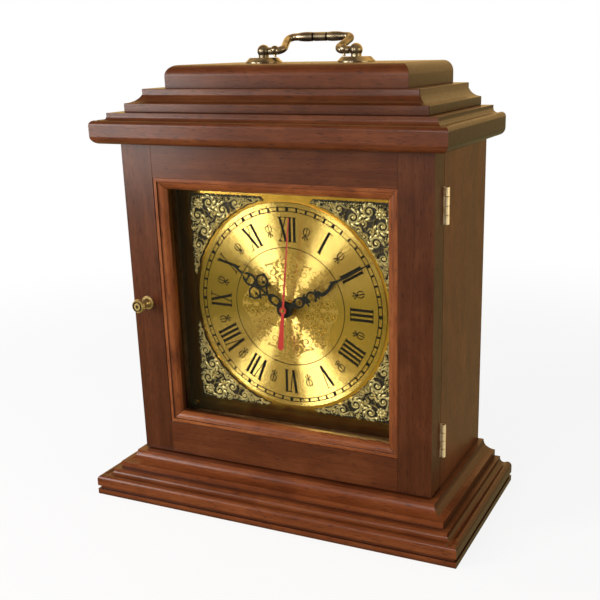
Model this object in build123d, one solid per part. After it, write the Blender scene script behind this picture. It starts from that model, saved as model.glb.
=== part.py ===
from build123d import *
import os
from itertools import pairwise
from math import atan2, cos, degrees, hypot, radians, sin

# Mantel clock with a glazed door, a moulded base and crown, and a brass dial.
# Millimetres, +Z up, the front faces -Y, and the origin is under the middle of the base.

# Case
case_width = 280.0
case_depth = 113.2
case_height = 280.6
side_thickness = 15.0
back_panel_thickness = 6.0
back_rebate_width = 8.0
panel_clearance = 0.5

# Base boards: reach is how far an edge stands out past the case
base_lower_height = 22.5
base_lower_reach = 33.0
base_lower_fascia_top = 14.3
base_lower_step = 11.2
score_bottom = 5.0
score_top = 8.2
score_depth = 2.0
base_upper_height = 15.0
base_upper_reach = 16.6
base_upper_fascia_top = 5.9
base_upper_step = 11.2
base_front_extra = 2.0
base_fillet_height = 1.6
base_cove_fillet_height = 3.8

# Crown boards
cornice_height = 24.8
cornice_reach = 16.2
cornice_belly = 6.5
cornice_fascia_top = 15.3
cornice_step = 11.0
cornice_fillet_height = 2.4
crown_middle_height = 18.4
crown_middle_setback = 5.4
crown_middle_fascia_top = 7.2
crown_middle_step = 11.2
crown_middle_fillet_height = 4.4
crown_cap_height = 18.4
crown_cap_setback = 30.6
crown_cap_round = 9.0
crown_front_extra = 3.9

# Door
door_thickness = 22.0
door_back_gap = 0.6
door_under_gap = 1.0
door_over_gap = 0.7
stile_width = 29.5
rail_bottom_width = 29.9
rail_top_width = 28.0
tenon_length = 12.0
tenon_thickness = 8.0
tenon_shoulder = 6.0
tenon_clearance = 0.1
moulding_width = 10.0
moulding_depth = 10.5
moulding_setback = 0.6
moulding_band = 3.2
moulding_band_step = 1.4
moulding_sight_drop = 6.6
glass_thickness = 2.0
glass_clearance = 0.4
stop_width = 6.0
stop_depth = 6.0

# Door knob and catch
knob_length = 16.5
knob_head_radius = 6.3
knob_head_depth = 5.6
knob_waist_radius = 3.0
rosette_radius = 6.0
rosette_depth = 2.0
knob_screw_radius = 1.5
knob_screw_head_radius = 3.5
knob_screw_head_depth = 2.0
magnet_radius = 4.0
magnet_length = 8.0
catch_plate_radius = 5.0
catch_plate_thickness = 1.2
catch_drop = 45.0
insert_clearance = 0.05

# Hinges
hinge_height = 29.0
hinge_inset = 28.0
hinge_barrel_radius = 2.0
hinge_barrel_clearance = 0.4
hinge_pin_radius = 1.0
hinge_leaf_width = 11.0
hinge_leaf_thickness = 1.2
hinge_knuckles = 4
hinge_knuckle_gap = 0.5
hinge_mortise_clearance = 0.1
hinge_screw_radius = 1.1
hinge_screw_head_radius = 2.2
hinge_screw_head_depth = 0.9
hinge_screw_length = 8.0
running_clearance = 0.05

# Handle
handle_spacing = 86.4
handle_plate_radius = 15.8
handle_plate_top_radius = 12.3
handle_plate_edge = 1.0
handle_plate_height = 4.4
handle_neck_radius = 4.4
handle_ball_radius = 5.4
handle_pivot_height = 9.7
handle_pivot_radius = 1.6
handle_pivot_depth = 7.0
handle_eye_gap = 0.4
handle_screw_radius = 1.5
handle_screw_head_radius = 3.5
handle_screw_head_depth = 2.5
handle_screw_grip = 4.0
bail_wire_radius = 3.1
bail_bar_radius = 3.7
bail_swell_radius = 3.95
bail_barrel_half = 6.4
bail_groove = 0.8
bail_swell_half = 22.0
bail_waist_half = 24.5
bail_bar_half = 31.0
bail_reach = 26.5
bail_bend_radius = 5.5
bail_lean = 25.0
bail_bump_radius = 3.7
bail_bump_inset = 11.0
bail_bump_rise = 0.9
bail_stop_radius = 1.2
bail_stop_inset = 10.9
bail_stop_gap = 0.3

# Wood screws of the base and the back
base_screw_radius = 2.0
base_screw_head_radius = 4.0
base_screw_head_depth = 3.0
base_screw_recess = 1.5
base_screw_grip = 22.0
base_screw_inset = 25.0
screw_clearance = 0.1
back_screw_radius = 1.5
back_screw_head_radius = 3.2
back_screw_head_depth = 2.0
back_screw_length = 16.0
back_screw_inset = 30.0

# Dial
dial_rise = 0.4
dial_face_depth = 6.9
dial_disc_radius = 90.7
dial_disc_thickness = 1.3
dial_disc_bevel = 0.5
dial_plate_size = 216.0
dial_plate_thickness = 1.0
dial_plate_screw_inset = 5.8
dial_screw_radius = 1.2
dial_screw_head_radius = 2.2
dial_screw_head_depth = 1.0
dial_screw_length = 4.5
dial_board_thickness = 6.0
dial_board_clearance = 0.3
cleat_width = 12.0
cleat_depth = 12.0
spandrel_half = 93.0
spandrel_leg = 70.5
spandrel_inner_radius = 93.8
spandrel_thickness = 3.0

# Movement
shell_width = 56.0
shell_above = 20.0
shell_below = 36.0
shell_depth = 18.0
shell_wall = 1.5
bush_radius = 4.0
bush_bore = 2.8
bush_flange_radius = 6.0
bush_flange_thickness = 1.5
bush_stand_out = 3.6
washer_radius = 6.6
washer_thickness = 0.6
nut_across_flats = 11.0
nut_thickness = 2.5
hour_pipe_bore = 2.0
minute_pipe_bore = 1.05
motion_shaft_radius = 1.2
cannon_teeth = 12
motion_teeth = 36
motion_pinion_teeth = 10
hour_teeth = 40
train_centre = 9.6
wheel_thickness = 1.5
hour_wheel_inset = 4.2
motion_wheel_inset = 7.7
second_wheel_inset = 11.2
second_wheel_radius = 6.0
set_knob_radius = 6.0
set_knob_depth = 3.8
set_knob_gap = 0.4
set_knob_flutes = 12
set_knob_flute_radius = 0.8
battery_radius = 7.1
battery_length = 48.0
battery_drop = 27.0
battery_seat_gap = 0.2
contact_thickness = 0.5
contact_size = 10.0
contact_gap = 0.2
coil_radius = 3.8
coil_length = 16.0
coil_rise = 14.0
coil_offset = 14.0
circuit_width = 18.0
circuit_height = 10.0
circuit_thickness = 1.0
circuit_rise = 13.0
circuit_offset = 17.0
circuit_seat_gap = 0.2

# Hands, at ten past ten
hour_angle = 305.0
minute_angle = 60.0
second_angle = 6.0
hour_hand_length = 64.0
minute_hand_length = 89.3
second_hand_length = 80.0
second_tail_length = 35.7
hand_hub_radius = 7.2
hand_thickness = 0.5
hour_hand_rise = 7.5
minute_hand_rise = 9.8
second_hand_rise = 12.3
second_hub_radius = 3.1
second_tip_radius = 1.6
second_tip_depth = 0.7
collar_depth = 0.7
collar_wall = 1.0
pipe_stand_out = 0.6
hand_bore_clearance = 0.03

# Levels and planes that follow from the sizes above
base_top = base_lower_height + base_upper_height
case_top = base_top + case_height
cornice_top = case_top + cornice_height
middle_top = cornice_top + crown_middle_height
crown_top = middle_top + crown_cap_height
overall_depth = base_lower_reach + base_front_extra + door_thickness + door_back_gap + case_depth
back_y = overall_depth / 2
case_front_y = back_y - case_depth
door_back_y = case_front_y - door_back_gap
door_front_y = door_back_y - door_thickness
half_width = case_width / 2
inner_half = half_width - side_thickness
door_bottom = base_top + door_under_gap
door_top = case_top - door_over_gap
opening_half = half_width - stile_width
opening_bottom = door_bottom + rail_bottom_width
opening_top = door_top - rail_top_width
opening_z = (opening_bottom + opening_top) / 2
moulding_back_y = door_front_y + moulding_setback + moulding_depth
glass_back_y = moulding_back_y + glass_thickness
dial_z = opening_z + dial_rise
disc_front_y = case_front_y + dial_face_depth
plate_front_y = disc_front_y + dial_disc_thickness
board_front_y = plate_front_y + dial_plate_thickness
board_back_y = board_front_y + dial_board_thickness
shell_back_y = board_back_y + shell_depth
shell_inner_y = board_back_y + shell_wall
motion_z = dial_z - train_centre
cap_front_y = door_front_y - crown_front_extra + crown_cap_setback
handle_y = (cap_front_y + back_y) / 2
pivot_z = crown_top + handle_pivot_height
hinge_x = half_width + hinge_barrel_radius + hinge_barrel_clearance
hinge_y = case_front_y - door_back_gap / 2
knob_x = -half_width + stile_width / 2
catch_x = -half_width + side_thickness / 2
catch_z = dial_z - catch_drop
bush_front_y = disc_front_y - bush_stand_out
hour_hand_y = disc_front_y - hour_hand_rise
minute_hand_y = disc_front_y - minute_hand_rise
second_hand_y = disc_front_y - second_hand_rise
hour_pipe_radius = bush_bore - running_clearance
minute_pipe_radius = hour_pipe_bore - running_clearance
second_shaft_radius = minute_pipe_bore - running_clearance


def block(x, y, z):
    """Box between the low and high values given for each axis."""
    size = Box(x[1] - x[0], y[1] - y[0], z[1] - z[0])
    return Pos(sum(x) / 2, sum(y) / 2, sum(z) / 2) * size


def rod_x(radius, x, y, z):
    """Round rod along X between two x values."""
    return Pos(sum(x) / 2, y, z) * Rot(0, 90, 0) * Cylinder(radius, x[1] - x[0])


def rod_y(radius, y, x=0.0, z=dial_z):
    """Round rod along Y between two y values, on the dial's axis unless placed."""
    return Pos(x, sum(y) / 2, z) * Rot(90, 0, 0) * Cylinder(radius, y[1] - y[0])


def rod_z(radius, z, x, y):
    """Round rod along Z between two z values."""
    return Pos(x, y, sum(z) / 2) * Cylinder(radius, z[1] - z[0])


def turned(outline):
    """Solid of revolution about Z of a closed outline of (radius, height) points."""
    face = make_face(Polyline(*outline, close=True))
    return revolve(Plane.XZ * face, Axis.Z)


def plate_y(sketch, y):
    """Flat plate: a sketch drawn in x and z as seen from the front, thick between two y values."""
    return Pos(0, y[1], 0) * extrude(Plane.XZ * sketch, y[1] - y[0])


def moulded_section(steps, inward):
    """Section of a moulded edge, from steps of (curve, reach, height), closed at a distance inward."""
    edges = []
    for before, after in pairwise(steps):
        curve = after[0]
        start = before[1:]
        end = after[1:]
        if curve == "line":
            edges.append(Line(start, end))
        if curve == "belly":
            edges.append(TangentArc(start, end, tangent=(1, 0)))
        if curve == "round":
            edges.append(TangentArc(start, end, tangent=(0, 1)))
        if curve == "cove":
            edges.append(TangentArc(start, end, tangent=(-1, 0)))
        if curve == "ogee":
            middle = ((start[0] + end[0]) / 2, (start[1] + end[1]) / 2)
            swell = TangentArc(start, middle, tangent=(0, 1))
            edges.append(swell)
            edges.append(TangentArc(middle, end, tangent=swell % 1))
    first = steps[0][1:]
    last = steps[-1][1:]
    edges.append(Line(last, (-inward, last[1])))
    edges.append(Line((-inward, last[1]), (-inward, first[1])))
    edges.append(Line((-inward, first[1]), first))
    return make_face(edges)


def moulded_board(bottom, steps, front_extra):
    """Board with a moulded edge on its front and both sides, mitred, and square at the back."""
    front_y = door_front_y - front_extra
    side_plane = Plane(origin=(half_width, 0, bottom), x_dir=(1, 0, 0), z_dir=(0, -1, 0))
    front_plane = Plane(origin=(0, front_y, bottom), x_dir=(0, -1, 0), z_dir=(-1, 0, 0))
    right_half = extrude(side_plane * moulded_section(steps, half_width), overall_depth, both=True)
    sides = right_half + mirror(right_half, Plane.YZ)
    front = extrude(front_plane * moulded_section(steps, back_y - front_y), case_width, both=True)
    return sides & front


def mitred_strip(section, length, width, depth):
    """Strip along X with 45 degree ends: the section is drawn in (inward, depth), and z grows inward."""
    bar = extrude(Plane.YZ * section, length / 2, both=True)
    outer = length / 2
    inner = length / 2 - width
    trapezoid = Polyline((-outer, 0), (outer, 0), (inner, width), (-inner, width), close=True)
    return bar & plate_y(make_face(trapezoid), (-depth, 2 * depth))


def frame_of_strips(section, width, depth, front_y, half, bottom, top):
    """Four mitred strips round the inside of a rectangular opening."""
    across = mitred_strip(section, 2 * half, width, depth)
    upright = mitred_strip(section, top - bottom, width, depth)
    middle = (bottom + top) / 2
    return Compound(children=[
        Pos(0, front_y, bottom) * across,
        Pos(0, front_y, top) * Rot(0, 180, 0) * across,
        Pos(-half, front_y, middle) * Rot(0, 90, 0) * upright,
        Pos(half, front_y, middle) * Rot(0, -90, 0) * upright,
    ])


def gear(teeth, module, first_tooth, y, z):
    """Spur gear on an axis along Y at x = 0, with a tooth centred at the angle first_tooth."""
    pitch_radius = module * teeth / 2
    ring = ((-0.31, pitch_radius - module), (-0.12, pitch_radius + 0.7 * module))
    points = []
    for tooth in range(teeth):
        for share, radius in ring + tuple((-share, radius) for share, radius in reversed(ring)):
            angle = radians(first_tooth + 360 / teeth * (tooth + share))
            points.append((radius * cos(angle), radius * sin(angle)))
    return Pos(0, 0, z) * plate_y(make_face(Polyline(*points, close=True)), y)


def countersunk_screw(radius, head_radius, head_depth, length):
    """Screw along +Z with its flat head at z = 0 and its shank above."""
    head = Cone(head_radius, radius, head_depth, align=(Align.CENTER, Align.CENTER, Align.MIN))
    shank = Cylinder(radius, length, align=(Align.CENTER, Align.CENTER, Align.MIN))
    return head + shank


def countersunk_hole(radius, head_radius, head_depth, length):
    """Room for such a screw, larger all round by the screw's clearance."""
    return countersunk_screw(
        radius + screw_clearance, head_radius + screw_clearance, head_depth, length + screw_clearance
    )


# Wooden case
base_screw_size = (base_screw_radius, base_screw_head_radius, base_screw_head_depth)
base_screw_length = base_top + base_screw_grip - base_screw_recess
base_screw_x = half_width - side_thickness / 2
base_screw_spots = [
    Pos(x, y, base_screw_recess)
    for x in (-base_screw_x, base_screw_x)
    for y in (case_front_y + base_screw_inset, back_y - base_screw_inset)
]
base_screw_holes = [
    spot * countersunk_hole(*base_screw_size, base_screw_length)
    + spot * Cylinder(base_screw_head_radius + screw_clearance, 2 * base_screw_recess)
    for spot in base_screw_spots
]
back_screw_size = (back_screw_radius, back_screw_head_radius, back_screw_head_depth)
back_screw_x = inner_half + back_rebate_width / 2
back_screw_spots = [
    Pos(x, back_y, z) * Rot(90, 0, 0)
    for x in (-back_screw_x, back_screw_x)
    for z in (base_top + back_screw_inset, case_top - back_screw_inset)
]
back_screw_hole = countersunk_hole(*back_screw_size, back_screw_length)
back_screw_holes = [spot * back_screw_hole for spot in back_screw_spots]

lower_fascia_in = base_lower_reach - base_lower_step
base_lower_board = moulded_board(0, [
    ("start", base_lower_reach, 0),
    ("line", base_lower_reach, score_bottom),
    ("line", base_lower_reach - score_depth, score_bottom),
    ("line", base_lower_reach - score_depth, score_top),
    ("line", base_lower_reach, score_top),
    ("line", base_lower_reach, base_lower_fascia_top),
    ("ogee", lower_fascia_in, base_lower_height - base_fillet_height),
    ("line", lower_fascia_in, base_lower_height),
], base_front_extra)
upper_fascia_in = base_upper_reach - base_upper_step
base_upper_board = moulded_board(base_lower_height, [
    ("start", base_upper_reach, 0),
    ("line", base_upper_reach, base_upper_fascia_top),
    ("cove", upper_fascia_in, base_upper_height - base_cove_fillet_height),
    ("line", upper_fascia_in, base_upper_height),
], base_front_extra)
for hole in base_screw_holes:
    base_lower_board -= hole
    base_upper_board -= hole
base_screw = countersunk_screw(*base_screw_size, base_screw_length)
base_screws = [spot * base_screw for spot in base_screw_spots]

case_side = block((inner_half, half_width), (case_front_y, back_y), (base_top, case_top))
case_side -= block(
    (inner_half, inner_half + back_rebate_width),
    (back_y - back_panel_thickness, back_y),
    (base_top, case_top),
)
case_side_left = mirror(case_side, Plane.YZ)
case_side_right = case_side
for hole in base_screw_holes + back_screw_holes:
    case_side_left -= hole
    case_side_right -= hole

panel_half = inner_half + back_rebate_width - panel_clearance
back_panel = block(
    (-panel_half, panel_half),
    (back_y - back_panel_thickness, back_y),
    (base_top + panel_clearance, case_top - panel_clearance),
)
for hole in back_screw_holes:
    back_panel -= hole
back_panel_screw = countersunk_screw(*back_screw_size, back_screw_length)
back_panel_screws = [spot * back_panel_screw for spot in back_screw_spots]

cornice_in = cornice_reach - cornice_step
cornice_board = moulded_board(case_top, [
    ("start", cornice_reach - cornice_belly, 0),
    ("belly", cornice_reach, cornice_belly),
    ("line", cornice_reach, cornice_fascia_top),
    ("ogee", cornice_in, cornice_height - cornice_fillet_height),
    ("line", cornice_in, cornice_height),
], crown_front_extra)
middle_in = -crown_middle_setback - crown_middle_step
crown_middle_board = moulded_board(cornice_top, [
    ("start", -crown_middle_setback, 0),
    ("line", -crown_middle_setback, crown_middle_fascia_top),
    ("cove", middle_in, crown_middle_height - crown_middle_fillet_height),
    ("line", middle_in, crown_middle_height),
], crown_front_extra)
crown_top_cap = moulded_board(middle_top, [
    ("start", -crown_cap_setback, 0),
    ("line", -crown_cap_setback, crown_cap_height - crown_cap_round),
    ("round", -crown_cap_setback - crown_cap_round, crown_cap_height),
], crown_front_extra)

# Handle
handle_screw_size = (handle_screw_radius, handle_screw_head_radius, handle_screw_head_depth)
handle_screw_length = crown_cap_height + handle_screw_grip
handle_screw = countersunk_screw(*handle_screw_size, handle_screw_length)
handle_screw_hole = countersunk_hole(*handle_screw_size, handle_screw_length)
handle_screw_spots = [Pos(x, handle_y, middle_top) for x in (-handle_spacing / 2, handle_spacing / 2)]
handle_screws = [spot * handle_screw for spot in handle_screw_spots]
handle_screw_holes = [spot * handle_screw_hole for spot in handle_screw_spots]
for hole in handle_screw_holes:
    crown_top_cap -= hole

handle_post = turned([
    (0, 0),
    (handle_plate_radius, 0),
    (handle_plate_radius, handle_plate_edge),
    (handle_plate_top_radius, handle_plate_height),
    (handle_neck_radius, handle_plate_height),
    (handle_neck_radius, handle_pivot_height),
    (0, handle_pivot_height),
])
handle_post += Pos(0, 0, handle_pivot_height) * Sphere(handle_ball_radius)
pivot_hole_end = handle_ball_radius - handle_pivot_depth
handle_post -= rod_x(
    handle_pivot_radius + running_clearance, (pivot_hole_end, 2 * handle_ball_radius), 0, handle_pivot_height
)
handle_post_left = Pos(-handle_spacing / 2, handle_y, crown_top) * handle_post
handle_post_right = Pos(handle_spacing / 2, handle_y, crown_top) * mirror(handle_post, Plane.YZ)
for hole in handle_screw_holes:
    handle_post_left -= hole
    handle_post_right -= hole

bail_end = handle_spacing / 2 - handle_ball_radius - handle_eye_gap
bail_half_path = [(bail_end, 0), (bail_waist_half, 0), (bail_bar_half, bail_reach)]
bail_other_half = [(-x, reach) for x, reach in reversed(bail_half_path)]
bail_path = FilletPolyline(*bail_half_path, *bail_other_half, radius=bail_bend_radius)
bail_wire = sweep(bail_path.location_at(0) * Circle(bail_wire_radius), path=bail_path)
bail_swell_outer = (bail_swell_half, bail_reach + bail_wire_radius)
bail_swell_middle = ((bail_swell_half + bail_barrel_half) / 2, bail_reach + bail_swell_radius)
bail_swell_inner = (bail_barrel_half + bail_groove, bail_reach + bail_bar_radius)
bail_swell_arc = ThreePointArc(bail_swell_outer, bail_swell_middle, bail_swell_inner)
bail_bar = make_face(bail_swell_arc + Polyline(
    bail_swell_inner,
    (bail_barrel_half + bail_groove, bail_reach + bail_wire_radius),
    (bail_barrel_half, bail_reach + bail_wire_radius),
    (bail_barrel_half - bail_groove, bail_reach + bail_bar_radius),
    (0, bail_reach + bail_bar_radius),
    (0, bail_reach),
    (bail_swell_half, bail_reach),
    bail_swell_outer,
))
bail_swell = revolve(bail_bar, Axis((0, bail_reach, 0), (1, 0, 0)))
bail_pin = rod_x(handle_pivot_radius, (bail_end, handle_spacing / 2), 0, 0)
bail_bump = Pos(handle_spacing / 2 - bail_bump_inset, 0, bail_bump_rise) * Sphere(bail_bump_radius)
bail_ends = bail_swell + bail_pin + bail_bump
bail_flat = bail_wire + bail_ends + mirror(bail_ends, Plane.YZ)
bail_stop_x = handle_spacing / 2 - bail_stop_inset
bail_stop_low = handle_plate_height + bail_stop_gap - handle_pivot_height
handle_bail = Rot(bail_lean, 0, 0) * bail_flat
for side in (-1, 1):
    handle_bail += rod_z(bail_stop_radius, (bail_stop_low, 0), side * bail_stop_x, 0)
handle_bail = Pos(0, handle_y, pivot_z) * handle_bail

# Door frame
stile = block((opening_half, half_width), (door_front_y, door_back_y), (door_bottom, door_top))
tenon_middle_y = (door_front_y + door_back_y) / 2


def tenon(bottom, top, clearance):
    """Tenon, or with a clearance its mortise, on the right of a rail between two heights."""
    thick = tenon_thickness / 2 + clearance
    return block(
        (opening_half, opening_half + tenon_length + clearance),
        (tenon_middle_y - thick, tenon_middle_y + thick),
        (bottom + tenon_shoulder - clearance, top - tenon_shoulder + clearance),
    )


rail_heights = ((door_bottom, opening_bottom), (opening_top, door_top))
rails = []
for low, high in rail_heights:
    rail = block((-opening_half, opening_half), (door_front_y, door_back_y), (low, high))
    rail_tenon = tenon(low, high, 0)
    rails.append(rail + rail_tenon + mirror(rail_tenon, Plane.YZ))
    stile -= tenon(low, high, tenon_clearance)
door_rail_bottom, door_rail_top = rails
door_stile_right = stile
door_stile_left = mirror(stile, Plane.YZ)

slope_start = (moulding_band, moulding_band_step)
slope_end = (moulding_width, moulding_sight_drop)
moulding_edges = [
    Line((0, moulding_depth), (0, 0)),
    Line((0, 0), (moulding_band, 0)),
    Line((moulding_band, 0), slope_start),
    TangentArc(slope_start, slope_end, tangent=(1, 0)),
    Line(slope_end, (moulding_width, moulding_depth)),
    Line((moulding_width, moulding_depth), (0, moulding_depth)),
]
moulding_section = mirror(make_face(moulding_edges), Plane(origin=(0, 0, 0), z_dir=(1, -1, 0)))
door_moulding = frame_of_strips(
    moulding_section, moulding_width, moulding_depth,
    door_front_y + moulding_setback, opening_half, opening_bottom, opening_top,
)
glass_half = opening_half - glass_clearance
door_glass = block(
    (-glass_half, glass_half),
    (moulding_back_y, glass_back_y),
    (opening_bottom + glass_clearance, opening_top - glass_clearance),
)
stop_section = Pos(stop_depth / 2, stop_width / 2) * Rectangle(stop_depth, stop_width)
glass_stops = frame_of_strips(
    stop_section, stop_width, stop_depth, glass_back_y, opening_half, opening_bottom, opening_top
)

# Knob and catch
knob_neck = knob_length - knob_head_depth
knob_ring_step = knob_head_radius / 4
knob_groove = 0.9
knob_profile = turned([
    (0, rosette_depth),
    (knob_waist_radius + 1.4, rosette_depth),
    (knob_waist_radius, (rosette_depth + knob_neck) / 2),
    (knob_waist_radius + 0.6, knob_neck),
    (knob_head_radius - 0.8, knob_neck + 0.6),
    (knob_head_radius, knob_neck + knob_head_depth / 2),
    (knob_head_radius - 0.6, knob_length - knob_groove),
    (3 * knob_ring_step, knob_length),
    (3 * knob_ring_step, knob_length - knob_groove),
    (2 * knob_ring_step, knob_length - knob_groove),
    (2 * knob_ring_step, knob_length),
    (knob_ring_step, knob_length),
    (knob_ring_step, knob_length - knob_groove),
    (0, knob_length - knob_groove),
])
rosette_profile = turned([
    (0, 0),
    (rosette_radius, 0),
    (rosette_radius, rosette_depth / 2),
    (rosette_radius - 1.4, rosette_depth),
    (0, rosette_depth),
])
knob_place = Pos(knob_x, door_front_y, dial_z) * Rot(90, 0, 0)
knob_screw_size = (knob_screw_radius, knob_screw_head_radius, knob_screw_head_depth)
knob_screw_length = door_thickness + knob_neck
knob_screw_place = Pos(knob_x, door_back_y, dial_z) * Rot(90, 0, 0)
knob_screw = knob_screw_place * countersunk_screw(*knob_screw_size, knob_screw_length)
knob_screw_hole = knob_screw_place * countersunk_hole(*knob_screw_size, knob_screw_length)
door_knob = knob_place * knob_profile - knob_screw_hole
knob_rosette = knob_place * rosette_profile - knob_screw_hole
door_stile_left -= knob_screw_hole

magnet_y = (case_front_y, case_front_y + magnet_length)
catch_magnet = rod_y(magnet_radius, magnet_y, catch_x, catch_z)
case_side_left -= rod_y(magnet_radius + insert_clearance, magnet_y, catch_x, catch_z)
catch_y = (door_back_y - catch_plate_thickness, door_back_y)
catch_plate = rod_y(catch_plate_radius, catch_y, catch_x, catch_z)
door_stile_left -= rod_y(catch_plate_radius + insert_clearance, catch_y, catch_x, catch_z)

# Hinges
hinge_screw_x = half_width - hinge_leaf_width / 2
hinge_screw_size = (hinge_screw_radius, hinge_screw_head_radius, hinge_screw_head_depth)
knuckle_pitch = hinge_height / hinge_knuckles


def hinge_leaf(bottom, face_y, into_wood, first_knuckle):
    """Leaf let into the wood behind face_y, with every other knuckle of the barrel."""
    near_y = sorted((face_y, face_y + into_wood * hinge_leaf_thickness))
    leaf = block((half_width - hinge_leaf_width, half_width), near_y, (bottom, bottom + hinge_height))
    for knuckle in range(first_knuckle, hinge_knuckles, 2):
        low = bottom + knuckle * knuckle_pitch + hinge_knuckle_gap / 2
        high = low + knuckle_pitch - hinge_knuckle_gap
        leaf += block((half_width - hinge_leaf_thickness, hinge_x), near_y, (low, high))
        leaf += rod_z(hinge_barrel_radius, (low, high), hinge_x, hinge_y)
    bore = (bottom - hinge_knuckle_gap, bottom + hinge_height + hinge_knuckle_gap)
    return leaf - rod_z(hinge_pin_radius + running_clearance, bore, hinge_x, hinge_y)


def hinge_mortise(bottom, face_y, into_wood):
    """Recess in the wood for a leaf."""
    near_y = sorted((face_y, face_y + into_wood * hinge_leaf_thickness))
    return block(
        (half_width - hinge_leaf_width - hinge_mortise_clearance, half_width),
        near_y,
        (bottom - hinge_mortise_clearance, bottom + hinge_height + hinge_mortise_clearance),
    )


def hinge_screw_spots(bottom, face_y, into_wood):
    """Places of a leaf's two screws, pointing into the wood."""
    turn = Rot(-90, 0, 0) if into_wood > 0 else Rot(90, 0, 0)
    heights = (bottom + hinge_height / 4, bottom + 3 * hinge_height / 4)
    return [Pos(hinge_screw_x, face_y, z) * turn for z in heights]


hinge_bottoms = {"upper": door_top - hinge_inset - hinge_height, "lower": door_bottom + hinge_inset}
hinge_case_leaves = {}
hinge_door_leaves = {}
hinge_case_screws = []
hinge_door_screws = []
hinge_pins = []
for name, bottom in hinge_bottoms.items():
    case_leaf = hinge_leaf(bottom, case_front_y, 1, 1)
    door_leaf = hinge_leaf(bottom, door_back_y, -1, 0)
    case_side_right -= hinge_mortise(bottom, case_front_y, 1)
    door_stile_right -= hinge_mortise(bottom, door_back_y, -1)
    for spot in hinge_screw_spots(bottom, case_front_y, 1):
        hinge_case_screws.append(spot * countersunk_screw(*hinge_screw_size, hinge_screw_length))
        hole = spot * countersunk_hole(*hinge_screw_size, hinge_screw_length)
        case_leaf -= hole
        case_side_right -= hole
    for spot in hinge_screw_spots(bottom, door_back_y, -1):
        hinge_door_screws.append(spot * countersunk_screw(*hinge_screw_size, hinge_screw_length))
        hole = spot * countersunk_hole(*hinge_screw_size, hinge_screw_length)
        door_leaf -= hole
        door_stile_right -= hole
    hinge_case_leaves[name] = case_leaf
    hinge_door_leaves[name] = door_leaf
    hinge_pins.append(rod_z(hinge_pin_radius, (bottom, bottom + hinge_height), hinge_x, hinge_y))

# Dial board, plate, disc and corner ornaments
bush_hole = rod_y(bush_radius + insert_clearance, (disc_front_y - dial_disc_thickness, shell_inner_y))
board_half = inner_half - dial_board_clearance
dial_backboard = block(
    (-board_half, board_half),
    (board_front_y, board_back_y),
    (base_top + dial_board_clearance, case_top - dial_board_clearance),
)
dial_backboard -= bush_hole
dial_cleats = [
    block(x, (board_back_y, board_back_y + cleat_depth), (base_top, case_top))
    for x in ((-inner_half, cleat_width - inner_half), (inner_half - cleat_width, inner_half))
]
plate_half = dial_plate_size / 2
dial_plate = block(
    (-plate_half, plate_half), (plate_front_y, board_front_y), (dial_z - plate_half, dial_z + plate_half)
)
dial_plate -= bush_hole
plate_screw_at = plate_half - dial_plate_screw_inset
dial_plate_screws = []
for x in (-plate_screw_at, plate_screw_at):
    for z in (dial_z - plate_screw_at, dial_z + plate_screw_at):
        shank_y = (plate_front_y, plate_front_y + dial_screw_length)
        head = rod_y(dial_screw_head_radius, (plate_front_y - dial_screw_head_depth, plate_front_y), x, z)
        dial_plate_screws.append(head + rod_y(dial_screw_radius, shank_y, x, z))
        hole_y = (shank_y[0], shank_y[1] + screw_clearance)
        hole = rod_y(dial_screw_radius + insert_clearance, hole_y, x, z)
        dial_plate -= hole
        dial_backboard -= hole
dial_disc = Pos(0, plate_front_y, dial_z) * Rot(90, 0, 0) * turned([
    (0, 0),
    (dial_disc_radius, 0),
    (dial_disc_radius, dial_disc_thickness - dial_disc_bevel),
    (dial_disc_radius - dial_disc_bevel, dial_disc_thickness),
    (0, dial_disc_thickness),
])
dial_disc -= bush_hole

corner_middle = spandrel_half - spandrel_leg / 2
spandrels = {}
for name, x_side, z_side in (
    ("top_left", -1, 1), ("top_right", 1, 1), ("bottom_left", -1, -1), ("bottom_right", 1, -1),
):
    corner = Pos(x_side * corner_middle, z_side * corner_middle) * Rectangle(spandrel_leg, spandrel_leg)
    outline = corner - Circle(spandrel_inner_radius)
    spandrel_y = (plate_front_y - spandrel_thickness, plate_front_y)
    spandrels[name] = Pos(0, 0, dial_z) * plate_y(outline, spandrel_y)

# Movement
shell_x = (-shell_width / 2, shell_width / 2)
shell_z = (dial_z - shell_below, dial_z + shell_above)
shell_middle_y = (board_back_y + shell_back_y) / 2
shell_room = block(
    (shell_x[0] + shell_wall, shell_x[1] - shell_wall),
    (shell_inner_y, shell_back_y - shell_wall),
    (shell_z[0] + shell_wall, shell_z[1] - shell_wall),
)
movement_front_shell = block(shell_x, (board_back_y, shell_middle_y), shell_z) - shell_room - bush_hole
movement_back_shell = block(shell_x, (shell_middle_y, shell_back_y), shell_z) - shell_room
motion_hole_y = (shell_middle_y, shell_back_y + shell_wall)
movement_back_shell -= rod_y(motion_shaft_radius + running_clearance, motion_hole_y, 0, motion_z)

bush_y = (bush_front_y, shell_inner_y + bush_flange_thickness)
movement_bush = rod_y(bush_radius, bush_y) + rod_y(bush_flange_radius, (shell_inner_y, bush_y[1]))
movement_bush -= rod_y(bush_bore, (bush_y[0] - 1, bush_y[1] + 1))
washer_y = (disc_front_y - washer_thickness, disc_front_y)
bush_washer = rod_y(washer_radius, washer_y) - rod_y(bush_radius + insert_clearance, washer_y)
nut_y = (washer_y[0] - nut_thickness, washer_y[0])
nut_outline = RegularPolygon(nut_across_flats / 2, 6, major_radius=False)
bush_nut = Pos(0, 0, dial_z) * plate_y(nut_outline, nut_y) - rod_y(bush_radius + insert_clearance, nut_y)

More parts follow.
